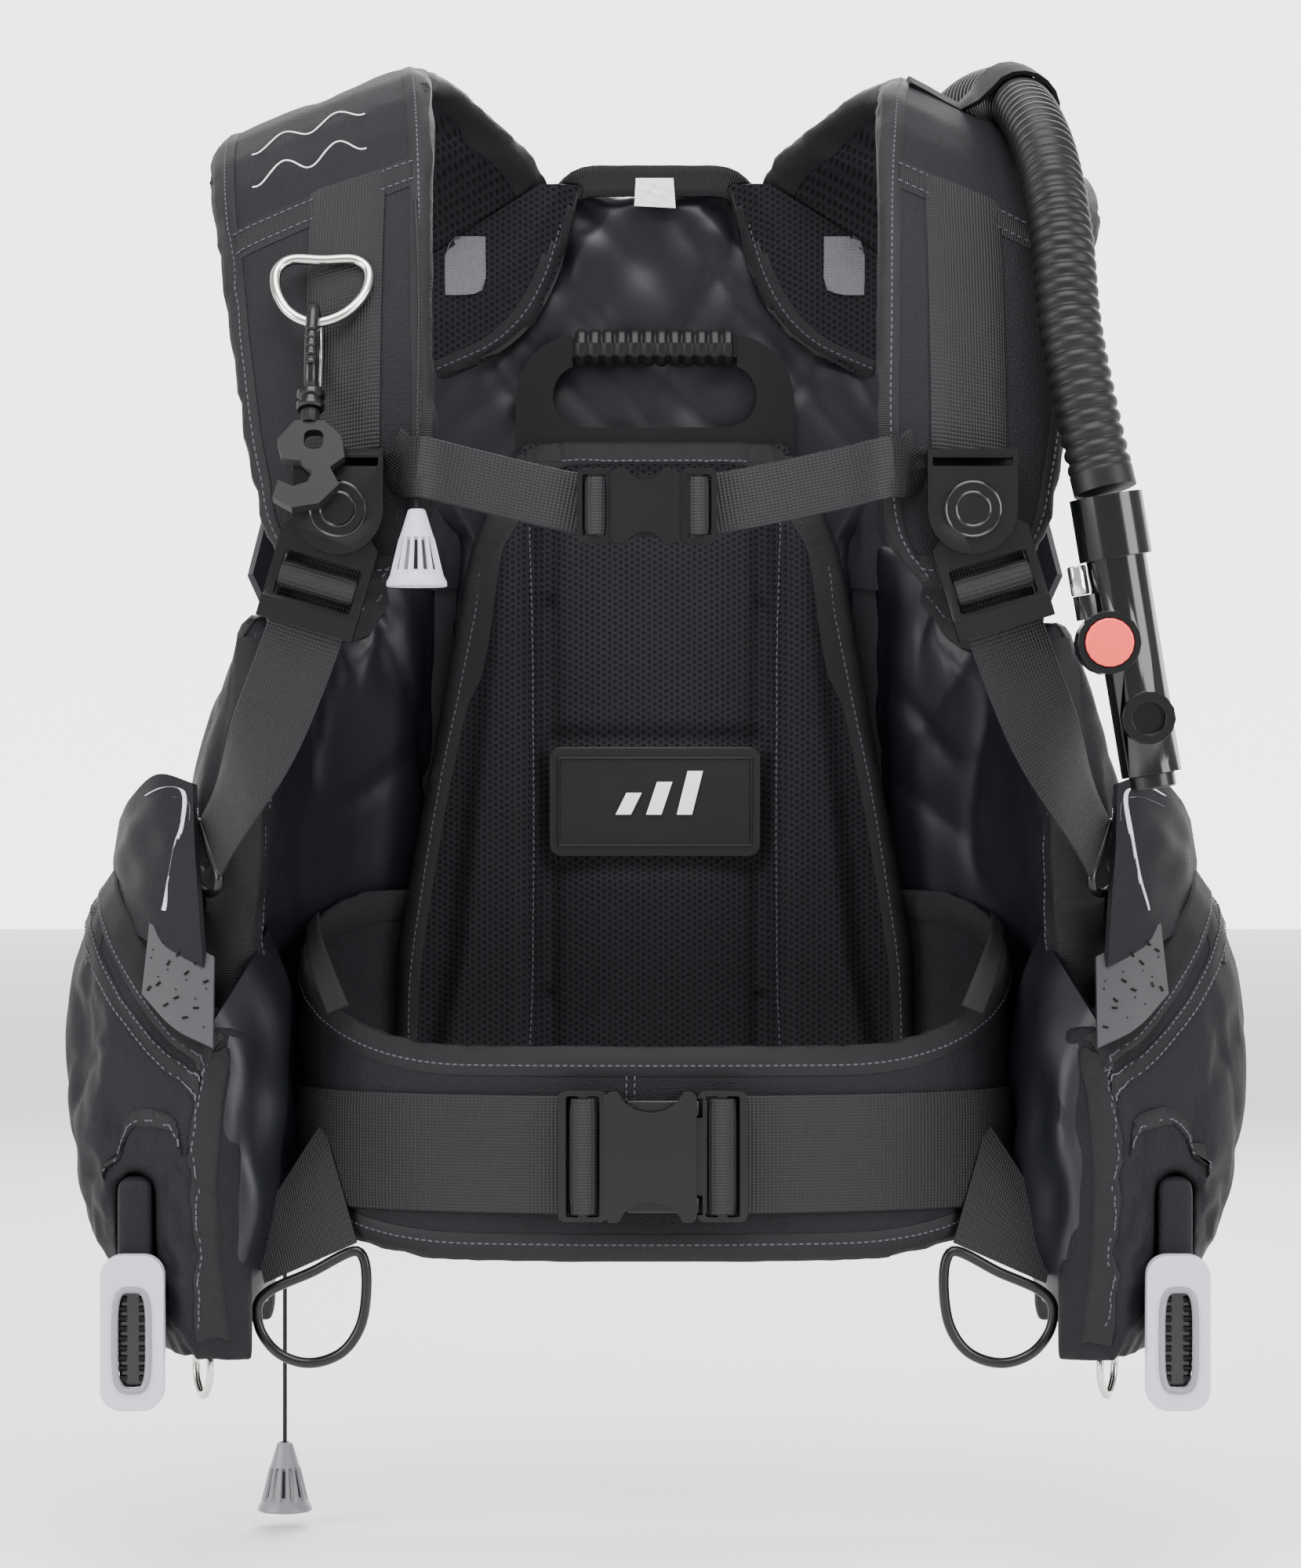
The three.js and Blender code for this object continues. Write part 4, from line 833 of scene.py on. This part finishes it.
for side, word in SIDES:
    slope = 0.1375
    corners = [(128, -200.6), (148, -210), (166.5, -218.6), (171, -224), (170, -235), (162, -245), (149, -249),
               (135, -244.5), (127, -234), (124, -219), (125, -204)]
    line = [(side * x, -170 + slope * (x - 128), z) for x, z in corners]
    made = wire(word + "_pull_ring_moulding", line, 2.3, acetal, word + "_pull_ring")
    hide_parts(word + "_pull_ring")
    drop = [(-9, 0), (0, 0), (9, 0), (11.5, 3), (10, 12), (0, 19), (-10, 12), (-11.5, 3)]
    line = [(side * (196 + 0.35 * a), -150 + 0.9 * a, -246 - b) for a, b in drop]
    made = wire(word + "_pocket_ring_wire", line, 1.7, steel, word + "_pocket_ring")
    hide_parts(word + "_pocket_ring")
    across, on = unit(np.array(LOBE_RING_ACROSS)), unit(np.array((0.375, 0.69, -0.625)))
    corners = [(-15, 0), (0, 0), (15, 0), (17, 4), (12, 14), (0, 19), (-12, 14), (-17, 4)]
    line = [(LOBE_RING + across * a + on * (b + 2.5)) * (side, 1, 1) for a, b in corners]
    made = wire(word + "_lower_ring_moulding", line, 2.1, acetal, "vest")
    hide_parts(word + "_lower_ring")

hang = np.array((-139, -220.75, 219.2))
hook = np.array((-142, -235.1, 191.6))
fall = (hook - hang) * (0, 1, 1) / 31.0
d = [(-14, 0), (0, 0), (14, 0), (19, 5), (18, 16), (9, 27), (-3, 31), (-13, 26), (-19, 15), (-19, 5)]
ring = wire("chest_ring_wire", [hang + (a, 0, 0) + fall * b for a, b in d], 2.3, steel, "chest_ring")
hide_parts("chest_ring")
lean = math.radians(26)


def on_hook(y, z, x=0.0):
    """A point in the hook's own frame, which leans forward 26 degrees from where it hangs on the ring."""
    return (hook[0] + x, hook[1] + y * math.cos(lean) + z * math.sin(lean),
            hook[2] - y * math.sin(lean) + z * math.cos(lean))


loop = [(0, 5.4), (4.2, 4), (6, -2), (7.5, -12), (7, -22), (4, -31), (0, -33), (-4, -31), (-7, -22), (-7.5, -12),
        (-6, -2), (-4.2, 4)]
snap = wire("snap_hook_moulding", [on_hook(y, z) for y, z in loop], 2.8, acetal, "snap_hook", sides=14)
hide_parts("snap_hook")


def lathe(name, profile, sides, place, material, body):
    """A turned piece: profile (radius, height) spun about its axis, each point sent through place(x, y, z)."""
    turn = np.arange(sides) * 2 * math.pi / sides
    rings = [[place(r * math.cos(a), r * math.sin(a), h) for a in turn] for r, h in profile]
    return put(name, tube_mesh(name, rings), material, body)


neck = [(0.3, -33), (5.2, -33.2), (6, -34), (6, -36), (4.6, -37), (4.6, -38.5), (6, -39.5), (6, -41), (5.2, -42),
        (0.3, -42)]
lathe("snap_hook_neck", neck, 20, lambda x, y, z: on_hook(y, z, x), acetal, "snap_hook")
bumps = [on_hook(-9.6, z) for z in (-8, -12, -16, -20, -24)]
for n, at in enumerate(bumps):
    pip = [(0.1, -1.2), (1.6, -0.9), (2.0, 0), (1.6, 0.9), (0.1, 1.2)]
    lathe("snap_hook_rib_%d" % n, pip, 10, lambda x, y, z, at=at: (at[0] + x * 1.4, at[1] + y * 0.9, at[2] + z),
          acetal, "snap_hook")
gate = [(5.4, -29), (6.6, -22), (6.2, -14), (2.5, -8), (0, -5), (1.5, -3.5), (4.5, -5)]
wire("snap_hook_gate", [on_hook(y - 7, z - 3, 3.6) for y, z in gate], 0.7, steel, "snap_hook",
     closed=False, sides=8, step=1)
clip_finish = surface("acetal_moulded_grained", "#0b0c0d", 0.5, grain(0.5), 0.2, 0.08, 0.1, shine=0.2)
moulded("hose_clip", "hose_clip", clip_finish, 1.8)

# ---- pull-cord dump valves -----------------------------------------------------------------------
# Braided cord 2 mm thick ends in a slotted conical knob; the shoulder cord leaves a sleeve on the strap, the rear
# one a round valve on the lobe.


def knob(name, x, y, z, material, body, node):
    """A pull knob: a cone 32 mm high whose skirt is cut by 14 slots, round a small collar; a black cone inside shows in
    the slots as painted shade.
    """
    turn = np.arange(84) * 2 * math.pi / 84
    slot = 0.5 - 0.5 * np.sign(np.cos(14 * turn) - 0.15)
    profile = [(1.6, -1), (2.6, 0), (3.6, -0.6), (4.3, -3), (6.0, -8.5), (7.0, -11.5), (7.4, -12.5), (10.4, -25),
               (10.9, -27), (11.6, -28.5), (12.4, -30), (12.5, -31.6), (11.9, -32), (10, -32), (9, -28), (1.6, -26)]
    depth = [0, 0, 0, 0, 0, 0, 1, 1, 0, 0, 0, 0, 0, 0, 0, 0]
    rings = [[(x + (r - 1.5 * k * s) * math.cos(a), y + (r - 1.5 * k * s) * math.sin(a), z + h)
              for a, s in zip(turn, slot)] for (r, h), k in zip(profile, depth)]
    obj = put(name, tube_mesh(name, rings, closed=True), material, body)
    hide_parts(node)
    # Painted shade: a glossy black cone just inside the skirt shows through the slots' grooves, standing in for the
    # shade inside them.
    dark = [[(x + r * math.cos(a), y + r * math.sin(a), z + h) for a in turn[::4]] for r, h in
            ((2.0, -12), (6.4, -13), (9.3, -25), (2.0, -26))]
    painted_slot_shade = put(name + "_core", tube_mesh(name + "_core", dark), gloss, body)
    return [obj, painted_slot_shade]


sleeve_end = [(-101, -208, 246), (-99, -226, 222), (-98, -236.5, 196), (-98, -245, 165), (-98, -249, 146),
              (-98, -252, 130), (-98, -255.6, 119.5), (-98, -257.6, 113.6), (-98, -257.6, 106), (-98, -257.6, 99.5)]
run = even(sleeve_end, 3)
cord_obj = wire("shoulder_cord_braid", sleeve_end, 1.0, webbing, "vest", closed=False, sides=8, step=3)
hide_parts("shoulder_cord")
knobs = knob("shoulder_knob_moulding", -98, -257.6, 113, pale, "shoulder_pull", "shoulder_knob")
length = float(np.linalg.norm(np.diff(run, axis=0), axis=1).sum()) * MM
low, high = (np.array(v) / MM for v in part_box("rear_cord"))
x, y = (low[:2] + high[:2]) / 2
line = np.array([(x, y, high[2]), (x, y, 0.5 * (high[2] + low[2])), (x, y, low[2])])
cord_obj = lathe("rear_cord_braid", [(1.0, h) for h in np.linspace(high[2], low[2], 50)], 8,
                 lambda a, b, c: (x + a, y + b, c), webbing, "rear_pull")
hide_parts("rear_cord")
knobs = knob("rear_knob_moulding", x, y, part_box("rear_knob")[1].z / MM, smoke, "rear_pull", "rear_knob")

# ---- corrugated inflator hose --------------------------------------------------------------------
# Rubber hose 27 mm across, ribbed every 6.3 mm, from the elbow on the back over the left shoulder to the inflator.
# Its ends are banded on to both fittings, and a rubber flap holds it down on the strap.
hose_line = [(108, 34, 227.5), (109.5, 34, 244), (118, 28, 272), (130, 8, 298), (143, -28, 310), (152, -68, 310),
             (158, -106, 303), (163, -150, 288), (167, -190, 264), (170, -222, 228), (172, -239, 190), (179, -249, 149),
             (185.3, -252.7, 120.8)]
line = even(hose_line, 0.9)
far = np.arange(len(line)) * 0.9
wave = np.abs(np.cos(math.pi * far / 6.3)) ** 0.6
radius = 13.4 - 2.2 * (1 - wave)
radius[(far > far[-1] - 9) | (far < 9)] = 13.2
along = unit(np.gradient(line, axis=0))
aside = unit(np.cross(along, (1, 0.2, 0)))
up = np.cross(along, aside)
turn = np.arange(32) * 2 * math.pi / 32
rings = np.stack([line + radius[:, None] * (math.cos(a) * aside + math.sin(a) * up) for a in turn], axis=1)
hose = put("inflator_hose_ribbed", tube_mesh("inflator_hose_ribbed", rings), rubber, "vest")
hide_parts("inflator_hose")
flap_rubber = surface("neoprene_rubber_sheet_matt", "#0a0b0c", 0.75, grain(0.6), 0.2, 0.1, 0.15, shine=0.08)
moulded("hose_flap", "vest", flap_rubber, 0.5)

# ---- tank band -----------------------------------------------------------------------------------
# Woven webbing 50 mm wide, through the backplate's two slots and round a 180 mm cylinder, closed by the cam buckle
# behind.
start = math.asin(54.9 / 90)
turns = np.linspace(start, 2 * math.pi - start, 26)
loop = [(50.9, -13, 0), (50.9, -6, 0), *[(90 * math.sin(a), 90 - 90 * math.cos(a), 0) for a in turns],
        (-50.9, -6, 0), (-50.9, -13, 0)]
band = tape("tank_band_webbing", loop, (0, 0, 1), 50, 2, webbing, "vest")
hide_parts("tank_band")

# ---- neck yoke, side panels and their trim -------------------------------------------------------
# Spacer-mesh lining that joins the straps to the back panel under the neckline, and the nylon walls that run from the
# back panel to the air lobes. All are sewn into the same seams as the neckline tape.


def panel(name, rails, thick, material=nylon, ripple=0.0, seed=1):
    """Cloth between rails (lists of as many points, in mm), `thick` mm deep, with soft folds `ripple` mm high."""
    rails = np.asarray(rails, float)
    n = 26
    across = np.linspace(0, len(rails) - 1, n)
    lines = np.stack([spline(r, np.linspace(0, 1, 44)) for r in rails])
    i = np.clip(across.astype(int), 0, len(rails) - 2)
    x = (across - i)[:, None, None]
    grid = (1 - x) * lines[i] + x * lines[i + 1]
    du, dv = np.gradient(grid, axis=1), np.gradient(grid, axis=0)
    normal = unit(np.cross(du, dv))
    s, t = np.meshgrid(np.linspace(0, 1, 44), np.linspace(0, 1, n))
    wave = sum(np.sin(2 * math.pi * (a * s + b * t) + c) / d for a, b, c, d in
               ((1.3, 2.1, seed, 1), (3.2, -1.4, 2 * seed, 2), (-2.1, 4.2, 3 * seed, 2.5)))
    hold = np.sin(np.pi * np.clip(s, 0, 1)) * np.sin(np.pi * np.clip(t, 0, 1))
    grid = grid + normal * (ripple * wave * hold)[:, :, None]
    rings = np.concatenate([grid + normal * thick / 2, (grid - normal * thick / 2)[:, ::-1]], axis=1)
    return put(name, tube_mesh(name, rings), material)


for side, word in SIDES:
    flip = np.array((side, 1, 1))
    high = np.array([strap_line(side, s, np.array([0.07]), -6.5)[0] for s in np.linspace(0.02, 0.6, 7)])
    low = np.array([(35, -5, 278), (40, -5, 256), (47, -5.5, 232), (57, -6, 214), (70, -6, 202), (84, -6, 195),
                    (99, -4, 189)]) * flip
    yoke = panel(word + "_yoke_lining", [high, 0.5 * high + 0.5 * low + (0, -3, 0), low], 4, spacer)
    host = skin(yoke)
    bound_edge(word + "_yoke_binding", host, low + (9 * side, -4, 5), low + (-5 * side, 0, -3),
               low + (5 * side, 6, 3))
    corner = np.array([(60, 0, 238), (80, 0, 196), (86, 1, 160), (86, 1, 130), (84, 2, 92)]) * flip
    far = np.array([(140, -4, 196), (157, -24, 182), (166, -52, 156), (172, -86, 128), (178, -122, 92)]) * flip
    bottom = np.array([(90, 2, 96), (128, -8, 82), (150, -36, 74), (160, -74, 66), (168, -112, 56)]) * flip
    belly = 0.5 * (far + bottom) + np.array((-3, -2, 0)) * flip
    panel(word + "_side_wall", [far, belly, bottom], 3, ripple=1.6, seed=2 + side)
    fill = np.array([(130, 0, 186), (132, -2, 160), (132, -4, 130), (130, -6, 104), (124, -6, 88)]) * flip
    panel(word + "_side_filler", [corner, fill], 3, ripple=1.2, seed=4)

neck = [(-47, 4, 269), (-34, -4, 279), (-16, -5, 280), (0, -5.5, 280), (16, -5, 280), (34, -4, 279), (47, 4, 269)]
tape("neckline_binding", neck, (0, 0.1, 1), 15, 4, binding, "vest")
label = np.array([(-8.8, -8, 281), (-9.5, -9.5, 268)]), np.array([(8.6, -8, 281), (9.6, -9.2, 267)])
white_woven = surface("white_woven_label_tape", "#e9e9ec", 0.6, grain(0.5), 0.3, 0.1, 0.05)
grey_woven = surface("grey_woven_tab_tape", "#5b5c61", 0.6, weave(1.4, 1.4), 0.9, 0.5, 0.1)
panel("care_label", label, 0.6, white_woven, ripple=0.4)
for side, word in SIDES:
    host = skin(bpy.data.objects[word + "_yoke_lining"])
    rails = [np.array([(side * x, -40, z) for z in (253, 244, 234, 226)]) for x in (78, 97)]
    laid(word + "_grey_tab", host, rails, 1.6, grey_woven)

# ---- print, embroidery and reflective trim -------------------------------------------------------
# Plain marks stand where the maker's words were: a stitched wave on one strap, three bars on the pad's rubber patch,
# and grey reflective chevrons on the lobes above the pockets.
reflective = surface("grey_reflective_transfer_film", "#b9bbc2", 0.35, grain(0.6), 0.1, 0.05, 0.08)
host = skin(bpy.data.objects["right_shoulder_strap_sewn"])
for k, lift in enumerate((0.0, 0.055)):
    share = np.linspace(0.3, 0.8, 40)
    wavy = 0.442 + lift + 0.012 * np.sin(share * 26)
    line = np.array([strap_line(-1, s, np.array([w]), 9)[0] for s, w in zip(share, wavy)])
    stitches("strap_embroidery_wave_%d" % k, host, line, 0.2, 0.9, 1.6)
    bpy.data.objects["strap_embroidery_wave_%d" % k].data.materials[0] = white_woven
for k, (x, low_z, high_z) in enumerate(((-14, -14, -4), (0, -14, 1), (14, -14, 6))):
    s = np.linspace(0, 1, 6)[:, None]
    a, b = np.array((x - 4, -37.6, low_z)), np.array((x + 1, -37.6, high_z))
    rails = [a + (b - a) * s, a + (b - a) * s + (7, 0, 0)]
    panel("patch_bar_%d" % k, rails, 0.5, white_woven)
frame_line = [(-44, -37.4, 12), (44, -37.4, 12), (44, -37.4, -28), (-44, -37.4, -28)]
for k in range(4):
    a, b = np.array(frame_line[k], float), np.array(frame_line[(k + 1) % 4], float)
    wire("patch_border_%d" % k, [a, 0.66 * a + 0.34 * b, 0.33 * a + 0.67 * b, b], 0.6, rubber, "vest",
         closed=False, sides=6, step=8)

# ---- pocket trim ---------------------------------------------------------------------------------
# Wide tape sewn round the pocket's openings, the zip with its moulded teeth, stripes woven in the weight pouch's tag,
# and the toothed opening in the pouch's handle.
grey_film = surface("grey_rubberised_polyurethane_film", "#242528", 0.55, grain(0.7), 0.15, 0.08, 0.1)
orange = surface("orange_woven_tag_tape", "#c2482e", 0.6, grain(0.5), 0.3, 0.1, 0.05)
for side, word in SIDES:
    flip = np.array((side, 1, 1))
    host = skin(bpy.data.objects[word + "_pocket_sewn"])

    def row(points, flip=flip):
        return spline(np.array(points, float) * flip, np.linspace(0, 1, 40))

    front = row([(180, -200, -112), (184, -206, -140), (186, -208, -170), (186, -206, -200), (182, -202, -240)])
    bound_edge(word + "_pocket_front_binding", host, front + (9 * side, -2, 0), front + (-3 * side, 0, 0),
               front + (-6 * side, 9, 0))
    slope = row([(252, -90, -30), (244, -130, -46), (228, -165, -74), (205, -195, -98), (182, -204, -112)])
    bound_edge(word + "_pocket_top_binding", host, slope + (1.5 * side, -4, -10), slope + (0, 0, 3),
               slope + (-8 * side, 8, 6), 1.4)
    second = row([(255, -100, -44), (247, -138, -62), (231, -172, -90), (210, -198, -112), (190, -208, -124)])
    laid(word + "_pocket_wide_tape", host, [second, second + (0, 0, -11)], 1.3)
    for k, drop in enumerate((-1.6, -9.4)):
        stitches("%s_pocket_wide_stitches_%d" % (word, k), host, second[1:-1] + (0, 0, drop), 1.3)
    mouth = row([(205, -206, -158), (214, -204, -148), (226, -200, -146), (238, -190, -156), (242, -184, -172)])
    laid(word + "_pouch_mouth_binding", host, [mouth, mouth + (0, 0, 9)], 1.6)
    stitches(word + "_pouch_mouth_stitches", host, mouth[2:-2] + (0, 0, 3), 1.6)
    teeth = row([(246, -118, -40), (243, -124, -52), (240, -130, -66), (238, -136, -80)])
    laid(word + "_zip_tape", host, [teeth - (6 * side, 6, 0), teeth + (6 * side, -2, 0)], 1.0)
    stitches(word + "_zip_teeth", host, teeth, 1.3, 1.7, 1.1)
    pouch = skin(bpy.data.objects[word + "_weight_pouch_sewn"])
    for k, z in enumerate((-202, -206, -224)):
        stripe = [np.array([(x * side, -196, z + d) for x in (216, 219, 222, 225, 228)]) for d in (0, -2.2)]
        laid("%s_pouch_stripe_%d" % (word, k), pouch, stripe, 0.5, orange if k == 0 else white_woven,
             word + "_weight_pouch")
    # The handle's opening is backed with a dark toothed plate inside a grey rim.
    turn = np.arange(28) * math.pi / 14
    oval = [(np.sign(math.cos(a)) * abs(math.cos(a)) ** 0.5, np.sign(math.sin(a)) * abs(math.sin(a)) ** 0.5)
            for a in turn]
    rim = [((HANDLE_X + 7.2 * a) * side, -195.2, HANDLE_Z + 21.5 * b) for a, b in oval]
    wire(word + "_handle_rim", rim, 1.5, smoke, word + "_weight_pouch", sides=8, step=2)
    back = [[((HANDLE_X + 6.3 * a) * side, y, HANDLE_Z + 20.6 * b) for a, b in oval] for y in (-187.4, -189.4)]
    put(word + "_handle_back", tube_mesh(word + "_handle_back", back), gloss, word + "_weight_pouch")
    for k in range(9):
        z = HANDLE_Z + 17 - 4.2 * k
        for sign in (-1, 1):
            tooth = [(HANDLE_X + sign * x) * side for x in (6.4, 5.2, 4.0, 2.6)]
            wire("%s_handle_tooth_%d_%s" % (word, k, "in" if sign < 0 else "out"), [(x, -190.6, z) for x in tooth], 1.3,
                 gloss, word + "_weight_pouch", closed=False, sides=6, step=3)

# ---- small sewn and laced pieces -----------------------------------------------------------------
# Webbing laced round the buckles' bars, elastic loops from the belt to the lobes, the Cordura gusset with its
# reflective chevrons over each pocket, and the fabric ear sewn on to back each zip slider.
for name, middle, length, deep, width, at_y, at_z, movers in (
        ("waist", -1, 80, 16, 50, -204.6, WAIST_Z, ("vest", "waist_plug")),
        ("chest", -3.5, 58, 10, 25, -250, 114.5, ("vest", "chest_plug"))):
    for sign, body in zip((-1, 1), movers):
        bar_x = middle + sign * (length / 2 - length * 0.135)
        gap = length * 0.26 * 0.23
        face = at_y - deep * 0.28 - 1.3
        loop = [(bar_x - gap, at_y + 2, at_z), (bar_x - gap, face + 1.6, at_z), (bar_x - 0.5 * gap, face - 0.2, at_z),
                (bar_x + 0.5 * gap, face - 0.2, at_z), (bar_x + gap, face + 1.6, at_z), (bar_x + gap, at_y + 2, at_z)]
        end = "left" if sign > 0 else "right"
        tape("%s_buckle_lacing_%s" % (name, end), loop, (0, 0, 1), width - 1, 1.8, webbing, body, step=1.2)

for side, word in SIDES:
    flip = np.array((side, 1, 1))
    turn = BUCKLE_LEAN
    out = np.array((math.sin(turn), 0, -math.cos(turn)))
    centre = np.array((SWIVEL_X, -252.3, SWIVEL_Z))
    lace = [centre + out * r + (0, y, 0) for r, y in ((26, 5), (27, 1), (29, -0.4), (33, -0.4), (35.5, 1), (36.5, 5))]
    tape(word + "_ladder_lacing", np.array(lace) * flip, (math.cos(turn) * side, 0, math.sin(turn)), 32, 1.8, webbing,
         word + "_buckle_lower", step=1.5)
    for k, radius in enumerate((11.2, 7.0)):
        circle = [(side * (SWIVEL_X + radius * math.cos(a)), -257.1, SWIVEL_Z + radius * math.sin(a))
                  for a in np.arange(16) * math.pi / 8]
        wire("%s_swivel_disc_ring_%d" % (word, k), circle, 0.7, gloss, "vest", sides=8, step=1.5)
    loop = np.array([(150, -128, -60), (148, -146, -70), (143, -160, -82), (136, -170, -97)]) * flip
    tape(word + "_elastic_loop", loop, (0.3 * side, -0.4, -0.8), 10, 1.6, binding, "vest")
    gusset = [np.array([(236, -104, -16), (228, -130, -6), (214, -152, 4), (198, -166, 0)]) * flip,
              np.array([(238, -112, -34), (230, -140, -30), (214, -164, -26), (196, -178, -26)]) * flip,
              np.array([(236, -118, -56), (228, -146, -62), (212, -172, -70), (192, -184, -78)]) * flip]
    host = skin(panel(word + "_chevron_gusset", gusset, 3, cordura, ripple=0.8, seed=3))
    for k, d in enumerate((0.0, 6.0)):
        bend = np.array([(226 - d, -150, -4 - d), (214 - d, -162, 0 - d), (206 - d, -168, -2 - d), (205 - d, -172, -16),
                         (207 - d, -172, -34), (212 - d, -172, -54)]) * flip
        line = spline(bend, np.linspace(0, 1, 36))
        laid("%s_reflective_chevron_%d" % (word, k), host, [line, line + (-2.8 * side, 0, -0.6)], 0.5, reflective)
    ear = [np.array([(215, -124, -36), (225, -104, -32), (235, -84, -30)]) * flip,
           np.array([(213, -126, -14), (222, -105, -10), (231, -84, -8)]) * flip]
    panel(word + "_zip_ear", ear, 2.4, cordura, ripple=0.4)
    strip = np.array([(88, 2.5, 112), (90, 2.5, 60), (92, 2.5, 0), (92, 2.5, -80), (92, 2.5, -148)]) * flip
    panel(word + "_seam_gusset", [strip, strip + (24 * side, -3, 0)], 3)

# ---- inner bulge and grey patch ------------------------------------------------------------------
# The coated nylon of the air cell bulges out past the pocket's front edge. Above it a patch of grey rubberised film,
# with small raised black triangles, is sewn on between the gusset and the pocket's top tape.
BULGE_FOOT_Z = -226
TRIANGLES = 21
for side, word in SIDES:
    flip = np.array((side, 1, 1))
    along = np.linspace(0, 1, 7)
    bulge = [np.stack([x + 13 * (2 * along - 1) ** 4, np.full(7, y), top + (BULGE_FOOT_Z - top) * along], axis=1) * flip
             for x, y, top in ((186, -187, -122), (174, -180, -98), (162, -156, -76), (158, -126, -64),
                               (166, -92, -58))]
    panel(word + "_inner_bulge", bulge, 3, ripple=2.2, seed=5)
    patch = [np.array(r, float) * flip for r in
             (((217, -167, -60), (203, -176, -67), (188, -182, -74)),
              ((219, -179, -90), (204, -192, -104), (187, -199, -112)))]
    host = skin(panel(word + "_grey_patch", patch, 2, grey_film))
    marks, faces = [], []
    for k in range(TRIANGLES):
        u, v = 0.12 + 0.13 * (k % 7), 0.25 + 0.25 * (k // 7) + 0.08 * (-1) ** k
        turn = 1.9 * k
        middle = (1 - v) * spline(patch[0], np.array([u]))[0] + v * spline(patch[1], np.array([u]))[0]
        corners = [middle + 1.5 * np.array((math.cos(turn + a), 0, math.sin(turn + a))) for a in (0, 2.1, 4.2)]
        marks += list(on_skin(host, np.array(corners), 1.3)) + list(on_skin(host, np.array(corners), 0.2))
        faces += [(6 * k, 6 * k + 1, 6 * k + 2), (6 * k + 5, 6 * k + 4, 6 * k + 3)]
        faces += [(6 * k + a, 6 * k + 3 + a, 6 * k + 3 + b, 6 * k + b) for a, b in ((0, 1), (1, 2), (2, 0))]
    put(word + "_patch_triangles", mesh_from(word + "_patch_triangles", marks, faces), rubber, "vest")

# The belt's two ends are sewn together where they overlap.
for x in (-12.5, -9.0):
    seam = [(x, -210, z) for z in (-118, -124, -130, -134)]
    stitches("belt_overlap_stitches_%d" % abs(int(x)), belt_skin, seam, 0.2)
